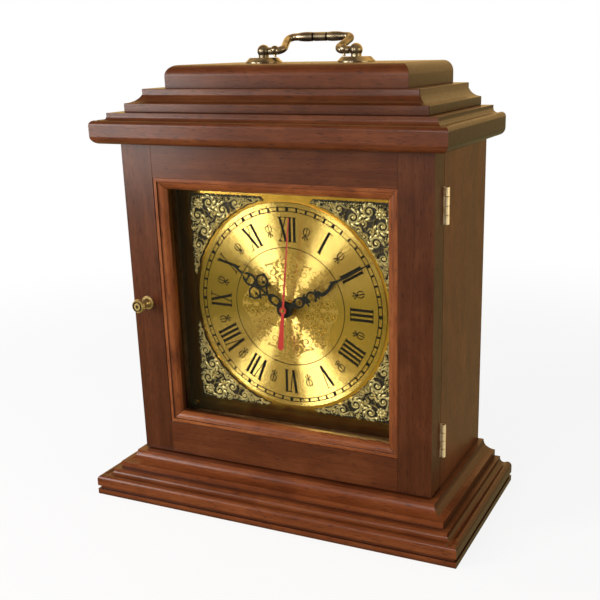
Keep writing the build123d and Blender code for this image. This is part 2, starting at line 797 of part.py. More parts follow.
cannon_module = 2 * train_centre / (cannon_teeth + motion_teeth)
hour_module = 2 * train_centre / (motion_pinion_teeth + hour_teeth)
hour_wheel_y = (shell_inner_y + hour_wheel_inset, shell_inner_y + hour_wheel_inset + wheel_thickness)
motion_wheel_y = (shell_inner_y + motion_wheel_inset, shell_inner_y + motion_wheel_inset + wheel_thickness)
second_wheel_y = (shell_inner_y + second_wheel_inset, shell_inner_y + second_wheel_inset + wheel_thickness)
hour_pipe_y = (hour_hand_y - pipe_stand_out, hour_wheel_y[1])
minute_pipe_y = (minute_hand_y - pipe_stand_out, motion_wheel_y[1])
second_shaft_y = (second_hand_y - second_tip_depth, second_wheel_y[1])

hour_wheel = gear(hour_teeth, hour_module, -90, hour_wheel_y, dial_z) + rod_y(hour_pipe_radius, hour_pipe_y)
hour_wheel -= rod_y(hour_pipe_bore, (hour_pipe_y[0] - 1, hour_pipe_y[1] + 1))
minute_arbor = gear(cannon_teeth, cannon_module, -90, motion_wheel_y, dial_z)
minute_arbor += rod_y(minute_pipe_radius, minute_pipe_y)
minute_arbor -= rod_y(minute_pipe_bore, (minute_pipe_y[0] - 1, minute_pipe_y[1] + 1))
second_arbor = rod_y(second_shaft_radius, second_shaft_y) + rod_y(second_wheel_radius, second_wheel_y)
second_arbor += rod_y(second_tip_radius, (second_shaft_y[0], second_hand_y))
half_gap_motion = 180 / motion_teeth
half_gap_pinion = 180 / motion_pinion_teeth
set_knob_y = (shell_back_y + set_knob_gap, shell_back_y + set_knob_gap + set_knob_depth)
motion_wheel = gear(motion_teeth, cannon_module, 90 + half_gap_motion, motion_wheel_y, motion_z)
motion_wheel += gear(motion_pinion_teeth, hour_module, 90 + half_gap_pinion, hour_wheel_y, motion_z)
motion_wheel += rod_y(motion_shaft_radius, (hour_wheel_y[0], set_knob_y[1]), 0, motion_z)
set_knob = rod_y(set_knob_radius, set_knob_y, 0, motion_z)
set_knob -= rod_y(motion_shaft_radius + hand_bore_clearance, set_knob_y, 0, motion_z)
for flute in range(set_knob_flutes):
    angle = radians(360 / set_knob_flutes * flute)
    flute_x = set_knob_radius * cos(angle)
    flute_z = motion_z + set_knob_radius * sin(angle)
    set_knob -= rod_y(set_knob_flute_radius, set_knob_y, flute_x, flute_z)

battery_y = shell_inner_y + battery_radius + battery_seat_gap
battery_z = dial_z - battery_drop
battery = rod_x(battery_radius, (-battery_length / 2, battery_length / 2), battery_y, battery_z)
contact_x = (battery_length / 2 + contact_gap, battery_length / 2 + contact_gap + contact_thickness)
contact_y = (shell_inner_y, shell_inner_y + contact_size)
contact_z = (battery_z - contact_size / 2, battery_z + contact_size / 2)
contact = block(contact_x, contact_y, contact_z)
battery_contacts = [mirror(contact, Plane.YZ), contact]
coil_y = shell_inner_y + coil_radius + battery_seat_gap
stepper_coil = rod_x(
    coil_radius, (-coil_offset - coil_length / 2, -coil_offset + coil_length / 2), coil_y, dial_z + coil_rise
)
circuit_board = block(
    (circuit_offset - circuit_width / 2, circuit_offset + circuit_width / 2),
    (shell_inner_y + circuit_seat_gap, shell_inner_y + circuit_seat_gap + circuit_thickness),
    (dial_z + circuit_rise - circuit_height / 2, dial_z + circuit_rise + circuit_height / 2),
)

# Hands, drawn pointing at twelve: x is across the hand and y along it


def ring(x, y, outer, width):
    """Flat ring."""
    return Pos(x, y) * (Circle(outer) - Circle(outer - width))


def dot(x, y, radius):
    """Flat disc."""
    return Pos(x, y) * Circle(radius)


def bar(start, end, width):
    """Straight bar with round ends."""
    along_x = end[0] - start[0]
    along_y = end[1] - start[1]
    slot = SlotCenterToCenter(hypot(along_x, along_y), width)
    middle = Pos((start[0] + end[0]) / 2, (start[1] + end[1]) / 2)
    return middle * Rot(0, 0, degrees(atan2(along_y, along_x))) * slot


def band(stations):
    """Curved band through stations of (across, along, half width), tapering to its last station."""
    left = Spline(*[(across - half, along) for across, along, half in stations])
    right = Spline(*[(across + half, along) for across, along, half in stations])
    return make_face([left, right, Line(left @ 0, right @ 0), Line(left @ 1, right @ 1)])


def drop(points, tip):
    """Drop-shaped face: a smooth outline up its right side, straight to a tip, and its mirror image."""
    right = Spline(*points, tangents=((1, 0.2), (tip[0] - points[-1][0], tip[1] - points[-1][1])))
    left = mirror(right, Plane.YZ)
    far_tip = (-tip[0], tip[1])
    return make_face([right, left, Line(right @ 1, tip), Line(tip, far_tip), Line(far_tip, left @ 1)])


def hour_hand_outline():
    """Spade hand: a drop at the hub, two rings, a heart and a point."""
    hand = Circle(hand_hub_radius)
    hand += Pos(0, 12.0) * (Ellipse(4.6, 7.6) - Ellipse(2.9, 3.7))
    hand += bar((0, 18.5), (0, 36.0), 1.8)
    for side in (-1, 1):
        hand += bar((0, 20.0), (side * 4.6, 25.0), 1.5)
        hand += dot(side * 6.7, 24.5, 1.3)
        hand += ring(side * 6.6, 31.0, 6.0, 1.6)
        hand += bar((side * 6.7, 25.6), (side * 6.4, 28.8), 1.0)
        hand += dot(side * 6.4, 29.2, 1.2)
        hand += dot(side * 12.6, 32.6, 1.2)
    heart = drop([(0, 34.2), (4.0, 36.4), (5.4, 40.4), (2.6, 47.5), (1.0, 53.0)], (0.2, hour_hand_length))
    heart -= drop([(0, 36.6), (2.9, 38.0), (3.7, 40.6), (1.6, 46.4)], (0.2, 50.4))
    hand += heart
    hand += bar((-3.6, 43.2), (3.6, 43.2), 1.2)
    for side in (-1, 1):
        hand += dot(side * 1.6, 43.2, 1.1)
    return hand


def minute_hand_outline():
    """Serpentine hand: two loops, a scrolled wave and a long point."""
    hand = Circle(hand_hub_radius)
    hand += bar((0, 0), (0, 11.0), 3.4)
    hand += Pos(0.5, 16.2) * (Ellipse(4.8, 6.6) - Ellipse(3.1, 3.3))
    hand += Pos(1.0, 23.2) * Ellipse(4.6, 1.9)
    hand += dot(-3.6, 24.6, 0.9)
    hand += dot(6.2, 23.4, 0.9)
    open_loop = ring(1.4, 29.4, 5.2, 1.7)
    open_loop -= Pos(6.0, 28.4) * Rectangle(4.4, 4.4)
    hand += open_loop
    hand += dot(5.2, 31.6, 1.3)
    hand += Pos(1.4, 36.0) * Ellipse(2.8, 3.6)
    hand += dot(-2.4, 35.2, 0.9)
    hand += dot(5.0, 35.4, 0.9)
    hand += bar((1.4, 35.2), (-2.4, 35.2), 1.2)
    hand += bar((1.4, 35.4), (5.0, 35.4), 1.2)
    hand += band([
        (1.6, 36.0, 1.8), (3.7, 42.7, 1.6), (2.0, 48.3, 1.5), (-0.3, 53.1, 1.7), (-0.3, 58.0, 0.9),
        (0, 66.0, 1.1), (0, 76.0, 0.9), (0, minute_hand_length, 0.25),
    ])
    hand += dot(-2.3, 52.2, 0.8)
    hand += dot(-1.5, 54.8, 0.8)
    return hand


def second_hand_outline():
    """Needle with a paddle tail."""
    needle = Polyline(
        (-0.9, 0), (-0.35, second_hand_length), (0.35, second_hand_length), (0.9, 0), close=True
    )
    paddle_half = 2.75
    paddle_end = paddle_half - second_tail_length
    paddle = Polyline((-1.1, 0), (1.1, 0), (paddle_half, paddle_end), (-paddle_half, paddle_end), close=True)
    hand = Circle(second_hub_radius) + make_face(needle) + make_face(paddle)
    return hand + dot(0, paddle_end, paddle_half)


def hand(outline, front_y, angle, shaft_radius):
    """Flat hand turned clockwise from twelve, with a collar behind it, bored for its shaft."""
    plate_back_y = front_y + hand_thickness
    solid = plate_y(outline, (front_y, plate_back_y))
    solid += rod_y(shaft_radius + collar_wall, (plate_back_y, plate_back_y + collar_depth), 0, 0)
    solid -= rod_y(shaft_radius + hand_bore_clearance, (front_y, plate_back_y + collar_depth), 0, 0)
    return Pos(0, 0, dial_z) * Rot(0, angle, 0) * solid


hour_hand = hand(hour_hand_outline(), hour_hand_y, hour_angle, hour_pipe_radius)
minute_hand = hand(minute_hand_outline(), minute_hand_y, minute_angle, minute_pipe_radius)
second_hand = hand(second_hand_outline(), second_hand_y, second_angle, second_shaft_radius)

nodes = {
    "base_lower_board": base_lower_board,
    "base_upper_board": base_upper_board,
    "base_screws": base_screws,
    "case_side_left": case_side_left,
    "case_side_right": case_side_right,
    "back_panel": back_panel,
    "back_panel_screws": back_panel_screws,
    "cornice_board": cornice_board,
    "crown_middle_board": crown_middle_board,
    "crown_top_cap": crown_top_cap,
    "dial_cleats": dial_cleats,
    "dial_backboard": dial_backboard,
    "catch_magnet": catch_magnet,
    "handle_post_left": handle_post_left,
    "handle_post_right": handle_post_right,
    "handle_screws": handle_screws,
    "handle_bail": handle_bail,
    "door_stile_left": door_stile_left,
    "door_stile_right": door_stile_right,
    "door_rail_top": door_rail_top,
    "door_rail_bottom": door_rail_bottom,
    "door_moulding": door_moulding,
    "door_glass": door_glass,
    "glass_stops": glass_stops,
    "knob_rosette": knob_rosette,
    "door_knob": door_knob,
    "knob_screw": knob_screw,
    "catch_plate": catch_plate,
    "hinge_case_leaf_upper": hinge_case_leaves["upper"],
    "hinge_case_leaf_lower": hinge_case_leaves["lower"],
    "hinge_door_leaf_upper": hinge_door_leaves["upper"],
    "hinge_door_leaf_lower": hinge_door_leaves["lower"],
    "hinge_pins": hinge_pins,
    "hinge_case_screws": hinge_case_screws,
    "hinge_door_screws": hinge_door_screws,
    "dial_plate": dial_plate,
    "dial_plate_screws": dial_plate_screws,
    "dial_disc": dial_disc,
    "movement_front_shell": movement_front_shell,
    "movement_back_shell": movement_back_shell,
    "movement_bush": movement_bush,
    "bush_washer": bush_washer,
    "bush_nut": bush_nut,
    "hour_wheel": hour_wheel,
    "minute_arbor": minute_arbor,
    "second_arbor": second_arbor,
    "motion_wheel": motion_wheel,
    "set_knob": set_knob,
    "battery": battery,
    "battery_contacts": battery_contacts,
    "stepper_coil": stepper_coil,
    "circuit_board": circuit_board,
    "hour_hand": hour_hand,
    "minute_hand": minute_hand,
    "second_hand": second_hand,
}
for name, spandrel in spandrels.items():
    nodes["spandrel_" + name] = spandrel

os.makedirs("parts", exist_ok=True)
for name, shape in nodes.items():
    solid = Compound(children=shape) if isinstance(shape, list) else shape
    export_step(solid, "parts/" + name + ".step")
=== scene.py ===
"""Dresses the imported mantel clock: stained wood, spun and cast brass, printed numerals, and a pale studio."""
import logging
import math
import random
from collections.abc import Callable, Iterable, Sequence
from dataclasses import dataclass, field
from enum import Enum

import bmesh
import bpy
from mathutils import Matrix, Vector


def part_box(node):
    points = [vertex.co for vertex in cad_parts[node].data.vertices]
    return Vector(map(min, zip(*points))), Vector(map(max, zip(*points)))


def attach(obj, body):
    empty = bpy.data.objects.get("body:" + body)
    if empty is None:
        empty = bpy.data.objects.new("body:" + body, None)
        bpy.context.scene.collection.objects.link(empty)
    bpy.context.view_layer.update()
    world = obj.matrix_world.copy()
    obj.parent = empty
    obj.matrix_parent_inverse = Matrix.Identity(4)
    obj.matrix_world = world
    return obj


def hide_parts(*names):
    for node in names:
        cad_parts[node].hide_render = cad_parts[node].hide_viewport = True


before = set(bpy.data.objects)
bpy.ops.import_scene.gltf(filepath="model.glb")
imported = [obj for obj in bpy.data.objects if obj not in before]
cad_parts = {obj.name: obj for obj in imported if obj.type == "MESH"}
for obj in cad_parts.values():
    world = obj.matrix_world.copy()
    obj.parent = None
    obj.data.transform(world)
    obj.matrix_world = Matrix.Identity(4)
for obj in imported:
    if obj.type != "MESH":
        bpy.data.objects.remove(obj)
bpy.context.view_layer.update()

log = logging.getLogger("mantel_clock")

# Lengths in metres, turns in radians
MM = 0.001
SAME_POINT = 2e-6
ON_EDGE = 1e-5
FLAT_TURN = math.radians(0.5)
SHARP_TURN = math.radians(35)
CREASE_TURN = math.radians(60)
CLOSE_PACKING = 0.96

Flat = tuple[float, float]
Solid = tuple[float, float, float]
Colour = tuple[float, float, float, float]


class Grain(Enum):
    """Direction of the grain in a board, as the place of its axis."""

    ACROSS = 0
    UPRIGHT = 2


class Relief(Enum):
    """Section of a drawn stroke."""

    FLAT = "flat"
    ROUND = "round"


def srgb(red: float, green: float, blue: float) -> Colour:
    """Linear colour of a display colour.

    Args:
        red: red, 0 to 255.
        green: green, 0 to 255.
        blue: blue, 0 to 255.

    Returns:
        The linear colour with full alpha.
    """
    shares = (channel / 255 for channel in (red, green, blue))
    linear = [share / 12.92 if share <= 0.04 else ((share + 0.055) / 1.055) ** 2.4 for share in shares]
    return (*linear, 1.0)


def shaded(colour: Colour, share: float) -> Colour:
    """Colour with that share of its light."""
    return (colour[0] * share, colour[1] * share, colour[2] * share, 1.0)


class Wire:
    """A shader socket that takes part in arithmetic: each operator adds one Math node."""

    def __init__(self, shader: "Shader", socket: bpy.types.NodeSocket) -> None:
        """Keeps the socket and the shader that it belongs to."""
        self.shader = shader
        self.socket = socket

    def math(self, operation: str, *operands: "Wire | float") -> "Wire":
        """Adds a Math node.

        Args:
            operation: the Math node's operation.
            operands: its inputs, in order.

        Returns:
            The node's value.
        """
        return self.shader.node("ShaderNodeMath", {"operation": operation}, dict(enumerate(operands)))

    def __add__(self, other: "Wire | float") -> "Wire":
        """Sum."""
        return self.math("ADD", self, other)

    def __radd__(self, other: float) -> "Wire":
        """Sum with a number first."""
        return self.math("ADD", other, self)

    def __sub__(self, other: "Wire | float") -> "Wire":
        """Difference."""
        return self.math("SUBTRACT", self, other)

    def __rsub__(self, other: float) -> "Wire":
        """Difference from a number."""
        return self.math("SUBTRACT", other, self)

    def __mul__(self, other: "Wire | float") -> "Wire":
        """Product."""
        return self.math("MULTIPLY", self, other)

    def __rmul__(self, other: float) -> "Wire":
        """Product with a number first."""
        return self.math("MULTIPLY", other, self)

    def __truediv__(self, other: "Wire | float") -> "Wire":
        """Quotient."""
        return self.math("DIVIDE", self, other)

    def __rtruediv__(self, other: float) -> "Wire":
        """Quotient of a number."""
        return self.math("DIVIDE", other, self)

    def size(self) -> "Wire":
        """Value without its sign."""
        return self.math("ABSOLUTE", self)

    def above(self, low: float, high: float) -> "Wire":
        """Smooth step from 0 at low to 1 at high."""
        settings = {"interpolation_type": "SMOOTHSTEP"}
        return self.shader.node("ShaderNodeMapRange", settings, {0: self, 1: low, 2: high, 3: 0.0, 4: 1.0})


class Shader:
    """Builds one material's node tree around a Principled shader."""

    def __init__(self, name: str) -> None:
        """Starts a material.

        Args:
            name: its name.
        """
        self.material = bpy.data.materials.new(name)
        self.material.use_nodes = True
        self.tree = self.material.node_tree
        self.tree.nodes.clear()

    @classmethod
    def of_tree(cls, tree: bpy.types.NodeTree) -> "Shader":
        """Starts in the tree of something other than a material.

        Args:
            tree: the tree, which is emptied.

        Returns:
            The builder of that tree.
        """
        made = cls.__new__(cls)
        made.tree = tree
        tree.nodes.clear()
        return made

    def node(
        self, kind: str, settings: dict | None = None, sockets: dict | None = None, output: int | str = 0
    ) -> Wire:
        """Adds a node.

        Args:
            kind: the node's type.
            settings: its properties, or a ramp's stops, which are set first.
            sockets: values or wires for its inputs, by name or place.
            output: the output that is wanted, by name or place.

        Returns:
            That output.
        """
        made = self.tree.nodes.new(kind)
        for name, value in (settings or {}).items():
            if name == "stops":
                self.set_stops(made.color_ramp, value)
            else:
                setattr(made, name, value)
        for key, value in (sockets or {}).items():
            if isinstance(value, Wire):
                self.tree.links.new(value.socket, made.inputs[key])
            else:
                made.inputs[key].default_value = value
        return Wire(self, made.outputs[output])

    @staticmethod
    def set_stops(ramp: bpy.types.ColorRamp, stops: Sequence[tuple[float, Colour]]) -> None:
        """Sets a colour ramp's stops.

        Args:
            ramp: the ramp.
            stops: places and colours, in order.
        """
        while len(ramp.elements) < len(stops):
            ramp.elements.new(1.0)
        for element, (place, colour) in zip(ramp.elements, stops):
            element.position = place
            element.color = colour

    def place(self, scale: Sequence[float], shift: Sequence[float] = (0, 0, 0)) -> Wire:
        """Object coordinates, stretched and shifted.

        Args:
            scale: features for each metre along each axis.
            shift: offset after the stretch.

        Returns:
            The coordinates.
        """
        here = self.node("ShaderNodeTexCoord", output="Object")
        return self.node("ShaderNodeMapping", None, {0: here, 1: shift, 3: scale})

    def axis(self, where: Wire, letter: str) -> Wire:
        """One coordinate of a vector, by its letter."""
        return self.node("ShaderNodeSeparateXYZ", None, {0: where}, letter)

    def vector(self, operation: str, *operands: Wire | Sequence[float]) -> Wire:
        """Vector Math node on those operands."""
        return self.node("ShaderNodeVectorMath", {"operation": operation}, dict(enumerate(operands)))

    def length(self, where: Wire) -> Wire:
        """Length of a vector."""
        return self.node("ShaderNodeVectorMath", {"operation": "LENGTH"}, {0: where}, "Value")

    def noise(self, where: Wire, detail: float = 2.0, distortion: float = 0.0) -> Wire:
        """Noise value at coordinates that already hold its scale."""
        sockets = {"Vector": where, "Scale": 1.0, "Detail": detail, "Distortion": distortion}
        return self.node("ShaderNodeTexNoise", None, sockets, "Fac")

    def mix(self, factor: Wire | float, first: Wire | Colour, second: Wire | Colour) -> Wire:
        """Colour between two, at that share of the second."""
        return self.node("ShaderNodeMix", {"data_type": "RGBA"}, {0: factor, 6: first, 7: second}, 2)

    def ramp(self, value: Wire, stops: Sequence[tuple[float, Colour]]) -> Wire:
        """Colour of a value on a ramp."""
        return self.node("ShaderNodeValToRGB", {"stops": stops}, {0: value})

    def bump(self, height: Wire, distance: float, strength: float) -> Wire:
        """Normal of a height pattern."""
        sockets = {"Height": height, "Distance": distance, "Strength": strength}
        return self.node("ShaderNodeBump", None, sockets)

    def end(self, surface: Wire, kind: str = "ShaderNodeOutputMaterial") -> None:
        """Links a surface to the tree's output node."""
        made = self.tree.nodes.new(kind)
        self.tree.links.new(surface.socket, made.inputs["Surface"])

    def output(self, surface: Wire) -> bpy.types.Material:
        """Ends the tree and returns the material."""
        self.end(surface)
        return self.material

    def principled(self, sockets: dict) -> bpy.types.Material:
        """Ends the tree with a Principled shader that has those sockets."""
        return self.output(self.node("ShaderNodeBsdfPrincipled", None, sockets))


@dataclass(frozen=True)
class StainedWood:
    """Stained close-grained wood under satin varnish, with painted shade darkening its inside corners.

    The pitches are features for each metre along the grain and across it.
    """

    grain: Grain
    board: int = 0
    dark: Colour = srgb(77, 35, 15)
    middle: Colour = srgb(98, 48, 21)
    light: Colour = srgb(117, 63, 31)
    pore: Colour = srgb(42, 18, 9)
    roughness: float = 0.4
    coat: float = 0.24
    coat_roughness: float = 0.2
    sheen: float = 0.08
    # Board tone: its own stain together with painted light and shade for how light falls on the board.
    depth: float = 1.0
    end_grain: float = 0.6
    # Reach and share of the painted shade that ambient occlusion lays in inside corners.
    crevice: float = 0.005
    corner_shade: float = 0.3
    broad_pitch: Flat = (3.5, 38.0)
    streak_pitch: Flat = (8.0, 260.0)
    fibre_pitch: Flat = (45.0, 1500.0)
    pore_pitch: Flat = (120.0, 1250.0)
    figure_pitch: Flat = (26.0, 48.0)
    board_shift: Solid = (3.7, 5.1, 7.3)

    def toned(self, colour: Colour, share: float = 1.0) -> Colour:
        """Colour under a share of this board's tone, which holds its own stain and painted light and shade for
        how light falls on the board.
        """
        return shaded(colour, self.depth * share)

    def pattern(self, shader: Shader, pitch: Flat, detail: float, distortion: float = 0.0) -> Wire:
        """Noise that runs with the grain, in another place on each board.

        Args:
            shader: the shader that it belongs to.
            pitch: its features for each metre, along the grain and across it.
            detail: its finer layers.
            distortion: how far it is bent.

        Returns:
            Its value.
        """
        scale = [pitch[1]] * 3
        scale[self.grain.value] = pitch[0]
        shift = tuple(step * self.board for step in self.board_shift)
        return shader.noise(shader.place(scale, shift), detail, distortion)

    def material(self, name: str) -> bpy.types.Material:
        """Builds the finish.

        Args:
            name: the material's name.

        Returns:
            The material.
        """
        shader = Shader(name)
        broad = self.pattern(shader, self.broad_pitch, 3.0, 0.7)
        streak = self.pattern(shader, self.streak_pitch, 4.0, 0.3)
        fibre = self.pattern(shader, self.fibre_pitch, 2.0)
        figure = self.pattern(shader, self.figure_pitch, 2.0, 0.6)
        pores = self.pattern(shader, self.pore_pitch, 1.0).above(0.58, 0.7)
        tone = broad * 0.25 + streak * 0.25 + fibre * 0.15 + figure * 0.35
        tones = [(0.36, self.dark), (0.5, self.middle), (0.64, self.light)]
        body = shader.ramp(tone, [(place, self.toned(colour)) for place, colour in tones])
        face = shader.node("ShaderNodeTexCoord", output="Normal")
        ends = shader.axis(face, "XYZ"[self.grain.value]).size().above(0.1, 0.5)
        # Painted shade: ambient occlusion darkens the colour towards the pore colour in inside corners and
        # crevices.
        occlusion = shader.node("ShaderNodeAmbientOcclusion", {"samples": 8}, {"Distance": self.crevice}, "AO")
        painted_corner_shade = (1 - occlusion.above(0.45, 0.95)) * self.corner_shade
        worn = shader.mix(pores * 0.55, body, self.toned(self.pore))
        sealed = shader.mix(ends, worn, self.toned(self.dark, self.end_grain))
        return shader.principled({
            "Base Color": shader.mix(painted_corner_shade, sealed, self.toned(self.pore)),
            "Roughness": self.roughness + (streak - 0.5) * 0.16 + pores * 0.1,
            "Normal": shader.bump(fibre * 0.5 - pores, 0.00012, 0.35),
            "Coat Weight": self.coat,
            "Coat Roughness": self.coat_roughness,
            "Specular IOR Level": self.sheen,
        })


@dataclass(frozen=True)
class Metal:
    """Plain metal with soft clouding and fine scratches."""

    bright: Colour
    dull: Colour
    roughness: float
    clouds: float = 160.0
    clouding: float = 0.5
    scratch: float = 0.08
    metallic: float = 1.0
    dark_tone: Colour = srgb(30, 22, 12)

    def darkening(self, shader: Shader) -> Wire | None:
        """Share of darkening at a place, or None for even metal."""
        return None

    def material(self, name: str) -> bpy.types.Material:
        """Builds the finish.

        Args:
            name: the material's name.

        Returns:
            The material.
        """
        shader = Shader(name)
        cloud = shader.noise(shader.place((self.clouds,) * 3), 2.0, 0.4)
        fine = shader.noise(shader.place((self.clouds * 9,) * 3), 2.0)
        colour = shader.mix(cloud.above(0.36, 0.66) * self.clouding, self.bright, self.dull)
        dark_tone = self.darkening(shader)
        if dark_tone is not None:
            colour = shader.mix(dark_tone * 0.9, colour, self.dark_tone)
        return shader.principled({
            "Base Color": colour,
            "Metallic": self.metallic,
            "Roughness": self.roughness + (cloud - 0.5) * 0.25 + (fine - 0.5) * self.scratch,
            "Normal": shader.bump(fine, 0.00002, 0.12),
        })


@dataclass(frozen=True)
class GripMetal(Metal):
    """Handle metal that is darker in the grooves beside its middle barrel."""

    groove_x: float = 0.0064
    groove_half: float = 0.0011

    def darkening(self, shader: Shader) -> Wire | None:
        """Darkening in the two grooves."""
        across = shader.axis(shader.place((1, 1, 1)), "X")
        return 1 - (across.size() - self.groove_x).size().above(self.groove_half * 0.6, self.groove_half)


@dataclass(frozen=True)
class TurnedMetal(Metal):
    """Turned knob metal that is darker in the sunk rings of its front."""

    axis: Flat = (0.0, 0.0)
    front_y: float = 0.0
    ring_radius: float = 0.0049
    ring_depth: float = 0.0009

    def darkening(self, shader: Shader) -> Wire | None:
        """Darkening on the floors of the sunk rings.

        Args:
            shader: the shader that it belongs to.

        Returns:
            The share of darkening.
        """
        reach = shader.length(shader.place((1, 0, 1), (-self.axis[0], 0, -self.axis[1])))
        depth = shader.axis(shader.place((1, 1, 1)), "Y") - self.front_y
        sunk = depth.above(self.ring_depth * 0.3, self.ring_depth * 0.7)
        behind = depth.above(self.ring_depth * 1.4, self.ring_depth * 1.5)
        return sunk * (1 - behind) * (1 - reach.above(self.ring_radius, self.ring_radius * 1.04))


@dataclass(frozen=True)
class SpunBrass:
    """Brass turned on a lathe: fine circular lines about the dial's axis throw fans of light."""

    centre_z: float
    colour: Colour = srgb(247, 209, 122)
    tarnish: Colour = srgb(231, 186, 98)
    roughness: float = 0.15
    spread: float = 0.8
    feed: float = 0.00014
    rings: float = 2400.0

    def material(self, name: str) -> bpy.types.Material:
        """Builds the finish.

        Args:
            name: the material's name.

        Returns:
            The material.
        """
        shader = Shader(name)
        here = shader.place((1, 1, 1), (0, 0, -self.centre_z))
        flat = shader.vector("MULTIPLY", here, (1, 0, 1))
        radius = shader.length(flat)
        line = shader.node("ShaderNodeMath", {"operation": "PINGPONG"}, {0: radius, 1: self.feed})
        tilt = line * (2 * self.spread / self.feed) - self.spread
        outward = shader.vector("NORMALIZE", flat)
        lean = shader.node("ShaderNodeVectorMath", {"operation": "SCALE"}, {0: outward, "Scale": tilt})
        face = shader.node("ShaderNodeNewGeometry", output="Normal")
        sockets = {"W": radius, "Scale": self.rings}
        tone = shader.node("ShaderNodeTexNoise", {"noise_dimensions": "1D"}, sockets, "Fac")
        return shader.principled({
            "Base Color": shader.mix(tone.above(0.35, 0.75) * 0.35, self.colour, self.tarnish),
            "Metallic": 1.0,
            "Roughness": self.roughness + (tone - 0.5) * 0.03,
            "Normal": shader.vector("NORMALIZE", shader.vector("ADD", face, lean)),
        })


@dataclass(frozen=True)
class CastBrass:
    """Cast brass that is dark in its hollows, from patina and painted shade, and rubbed bright on top."""

    low_y: float
    high_y: float
    bright: Colour = srgb(241, 220, 160)
    patina_and_shade: Colour = srgb(46, 35, 29)
    metallic: float = 0.55
    stain_pitch: float = 420.0

    def material(self, name: str) -> bpy.types.Material:
        """Builds the finish.

        Args:
            name: the material's name.

        Returns:
            The material.
        """
        shader = Shader(name)
        depth = shader.axis(shader.place((1, 1, 1)), "Y")
        stain = shader.noise(shader.place((self.stain_pitch,) * 3), 3.0)
        rise = (self.low_y - depth) / (self.low_y - self.high_y)
        # Low parts take the dark colour: patina in the hollows, and painted shade on the ground where pierced
        # gaps would show shade.
        high_share = (rise + (stain - 0.5) * 0.3).above(0.1, 0.5)
        return shader.principled({
            "Base Color": shader.mix(high_share, self.patina_and_shade, self.bright),
            "Metallic": self.metallic,
            "Roughness": 0.5 - high_share * 0.24,
            "Normal": shader.bump(stain, 0.0001, 0.4),
        })


@dataclass(frozen=True)
class Paint:
    """Enamel, ink or moulded plastic with a faint mottle."""

    colour: Colour
    roughness: float = 0.4
    mottle: float = 0.12
    grain: float = 700.0
    coat: float = 0.0
    sheen: float = 0.4

    def material(self, name: str) -> bpy.types.Material:
        """Builds the finish.

        Args:
            name: the material's name.

        Returns:
            The material.
        """
        shader = Shader(name)
        spots = shader.noise(shader.place((self.grain,) * 3), 3.0)
        deep = shaded(self.colour, 0.6)
        return shader.principled({
            "Base Color": shader.mix(spots.above(0.4, 0.75) * self.mottle * 3, self.colour, deep),
            "Roughness": self.roughness + (spots - 0.5) * self.mottle,
            "Normal": shader.bump(spots, 0.00003, 0.25),
            "Coat Weight": self.coat,
            "Specular IOR Level": self.sheen,
        })


@dataclass(frozen=True)
class ClearGlass:
    """Clear pane: light passes straight through, with a mirror sheen that grows at a slant."""

    tint: Colour = srgb(247, 250, 248)
    mirror: float = 0.34
    smears: float = 0.1

    def material(self, name: str) -> bpy.types.Material:
        """Builds the finish.

        Args:
            name: the material's name.

        Returns:
            The material.
        """
        shader = Shader(name)
        smear = shader.noise(shader.place((14, 14, 14)), 3.0)
        through = shader.node("ShaderNodeBsdfTransparent", None, {"Color": self.tint})
        sheen = shader.node("ShaderNodeBsdfGlossy", None, {"Color": (1, 1, 1, 1), "Roughness": 0.03})
        slant = shader.node("ShaderNodeFresnel", None, {"IOR": 1.3})
        share = slant * (self.mirror + smear * self.smears)
        return shader.output(shader.node("ShaderNodeMixShader", None, {0: share, 1: through, 2: sheen}))


@dataclass(frozen=True)
class PaleGround:
    """Pale studio ground with a soft shadow: nearly white to the camera, a warm table top in mirrors."""

    colour: Colour = srgb(238, 237, 235)
    mist: Colour = srgb(246, 245, 243)
    table: Colour = (0.43, 0.37, 0.16, 1.0)
    whiteness: float = 0.86
    near: float = 0.45
    far: float = 1.1

    def material(self, name: str) -> bpy.types.Material:
        """Builds the finish.

        Args:
            name: the material's name.

        Returns:
            The material.
        """
        shader = Shader(name)
        mist = shader.noise(shader.place((2, 2, 2)), 2.0)
        cloth = shader.node("ShaderNodeBsdfPrincipled", None, {
            "Base Color": shader.mix(mist * 0.2, self.colour, self.mist),
            "Roughness": 1.0,
            "Specular IOR Level": 0.0,
        })
        white = shader.node("ShaderNodeEmission", None, {"Color": (1, 1, 1, 1), "Strength": 1.0})
        warm = shader.node("ShaderNodeEmission", None, {"Color": self.table, "Strength": 1.0})
        away = shader.length(shader.place((1, 1, 1))).above(self.near, self.far)
        share = away * (1 - self.whiteness) + self.whiteness
        seen = shader.node("ShaderNodeLightPath", output="Is Camera Ray") * share
        glossy = shader.node("ShaderNodeLightPath", output="Is Glossy Ray")
        plain = shader.node("ShaderNodeMixShader", None, {0: seen, 1: cloth, 2: white})
        return shader.output(shader.node("ShaderNodeMixShader", None, {0: glossy, 1: plain, 2: warm}))


def add_object(name: str, mesh: bpy.types.Mesh) -> bpy.types.Object:
    """Links a new object for a mesh.

    Args:
        name: the object's name.
        mesh: its mesh, already in place.

    Returns:
        The object, at the origin.
    """
    made = bpy.data.objects.new(name, mesh)
    bpy.context.scene.collection.objects.link(made)
    return made


def finish_piece(
    piece: bpy.types.Object,
    body: str,
    finish: bpy.types.Material | None = None,
    stands_for: Iterable[str] = (),
) -> None:
    """Puts a piece on its body and reports it.

    Args:
        piece: the piece.
        body: the body that it rides on.
        finish: its material, unless its mesh has some.
        stands_for: CAD nodes that it replaces.
    """
    if finish is not None:
        piece.data.materials.clear()
        piece.data.materials.append(finish)
    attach(piece, body)
    if stands_for:
        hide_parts(*stands_for)
    log.info("%s rides %s with %d faces", piece.name, body, len(piece.data.polygons))


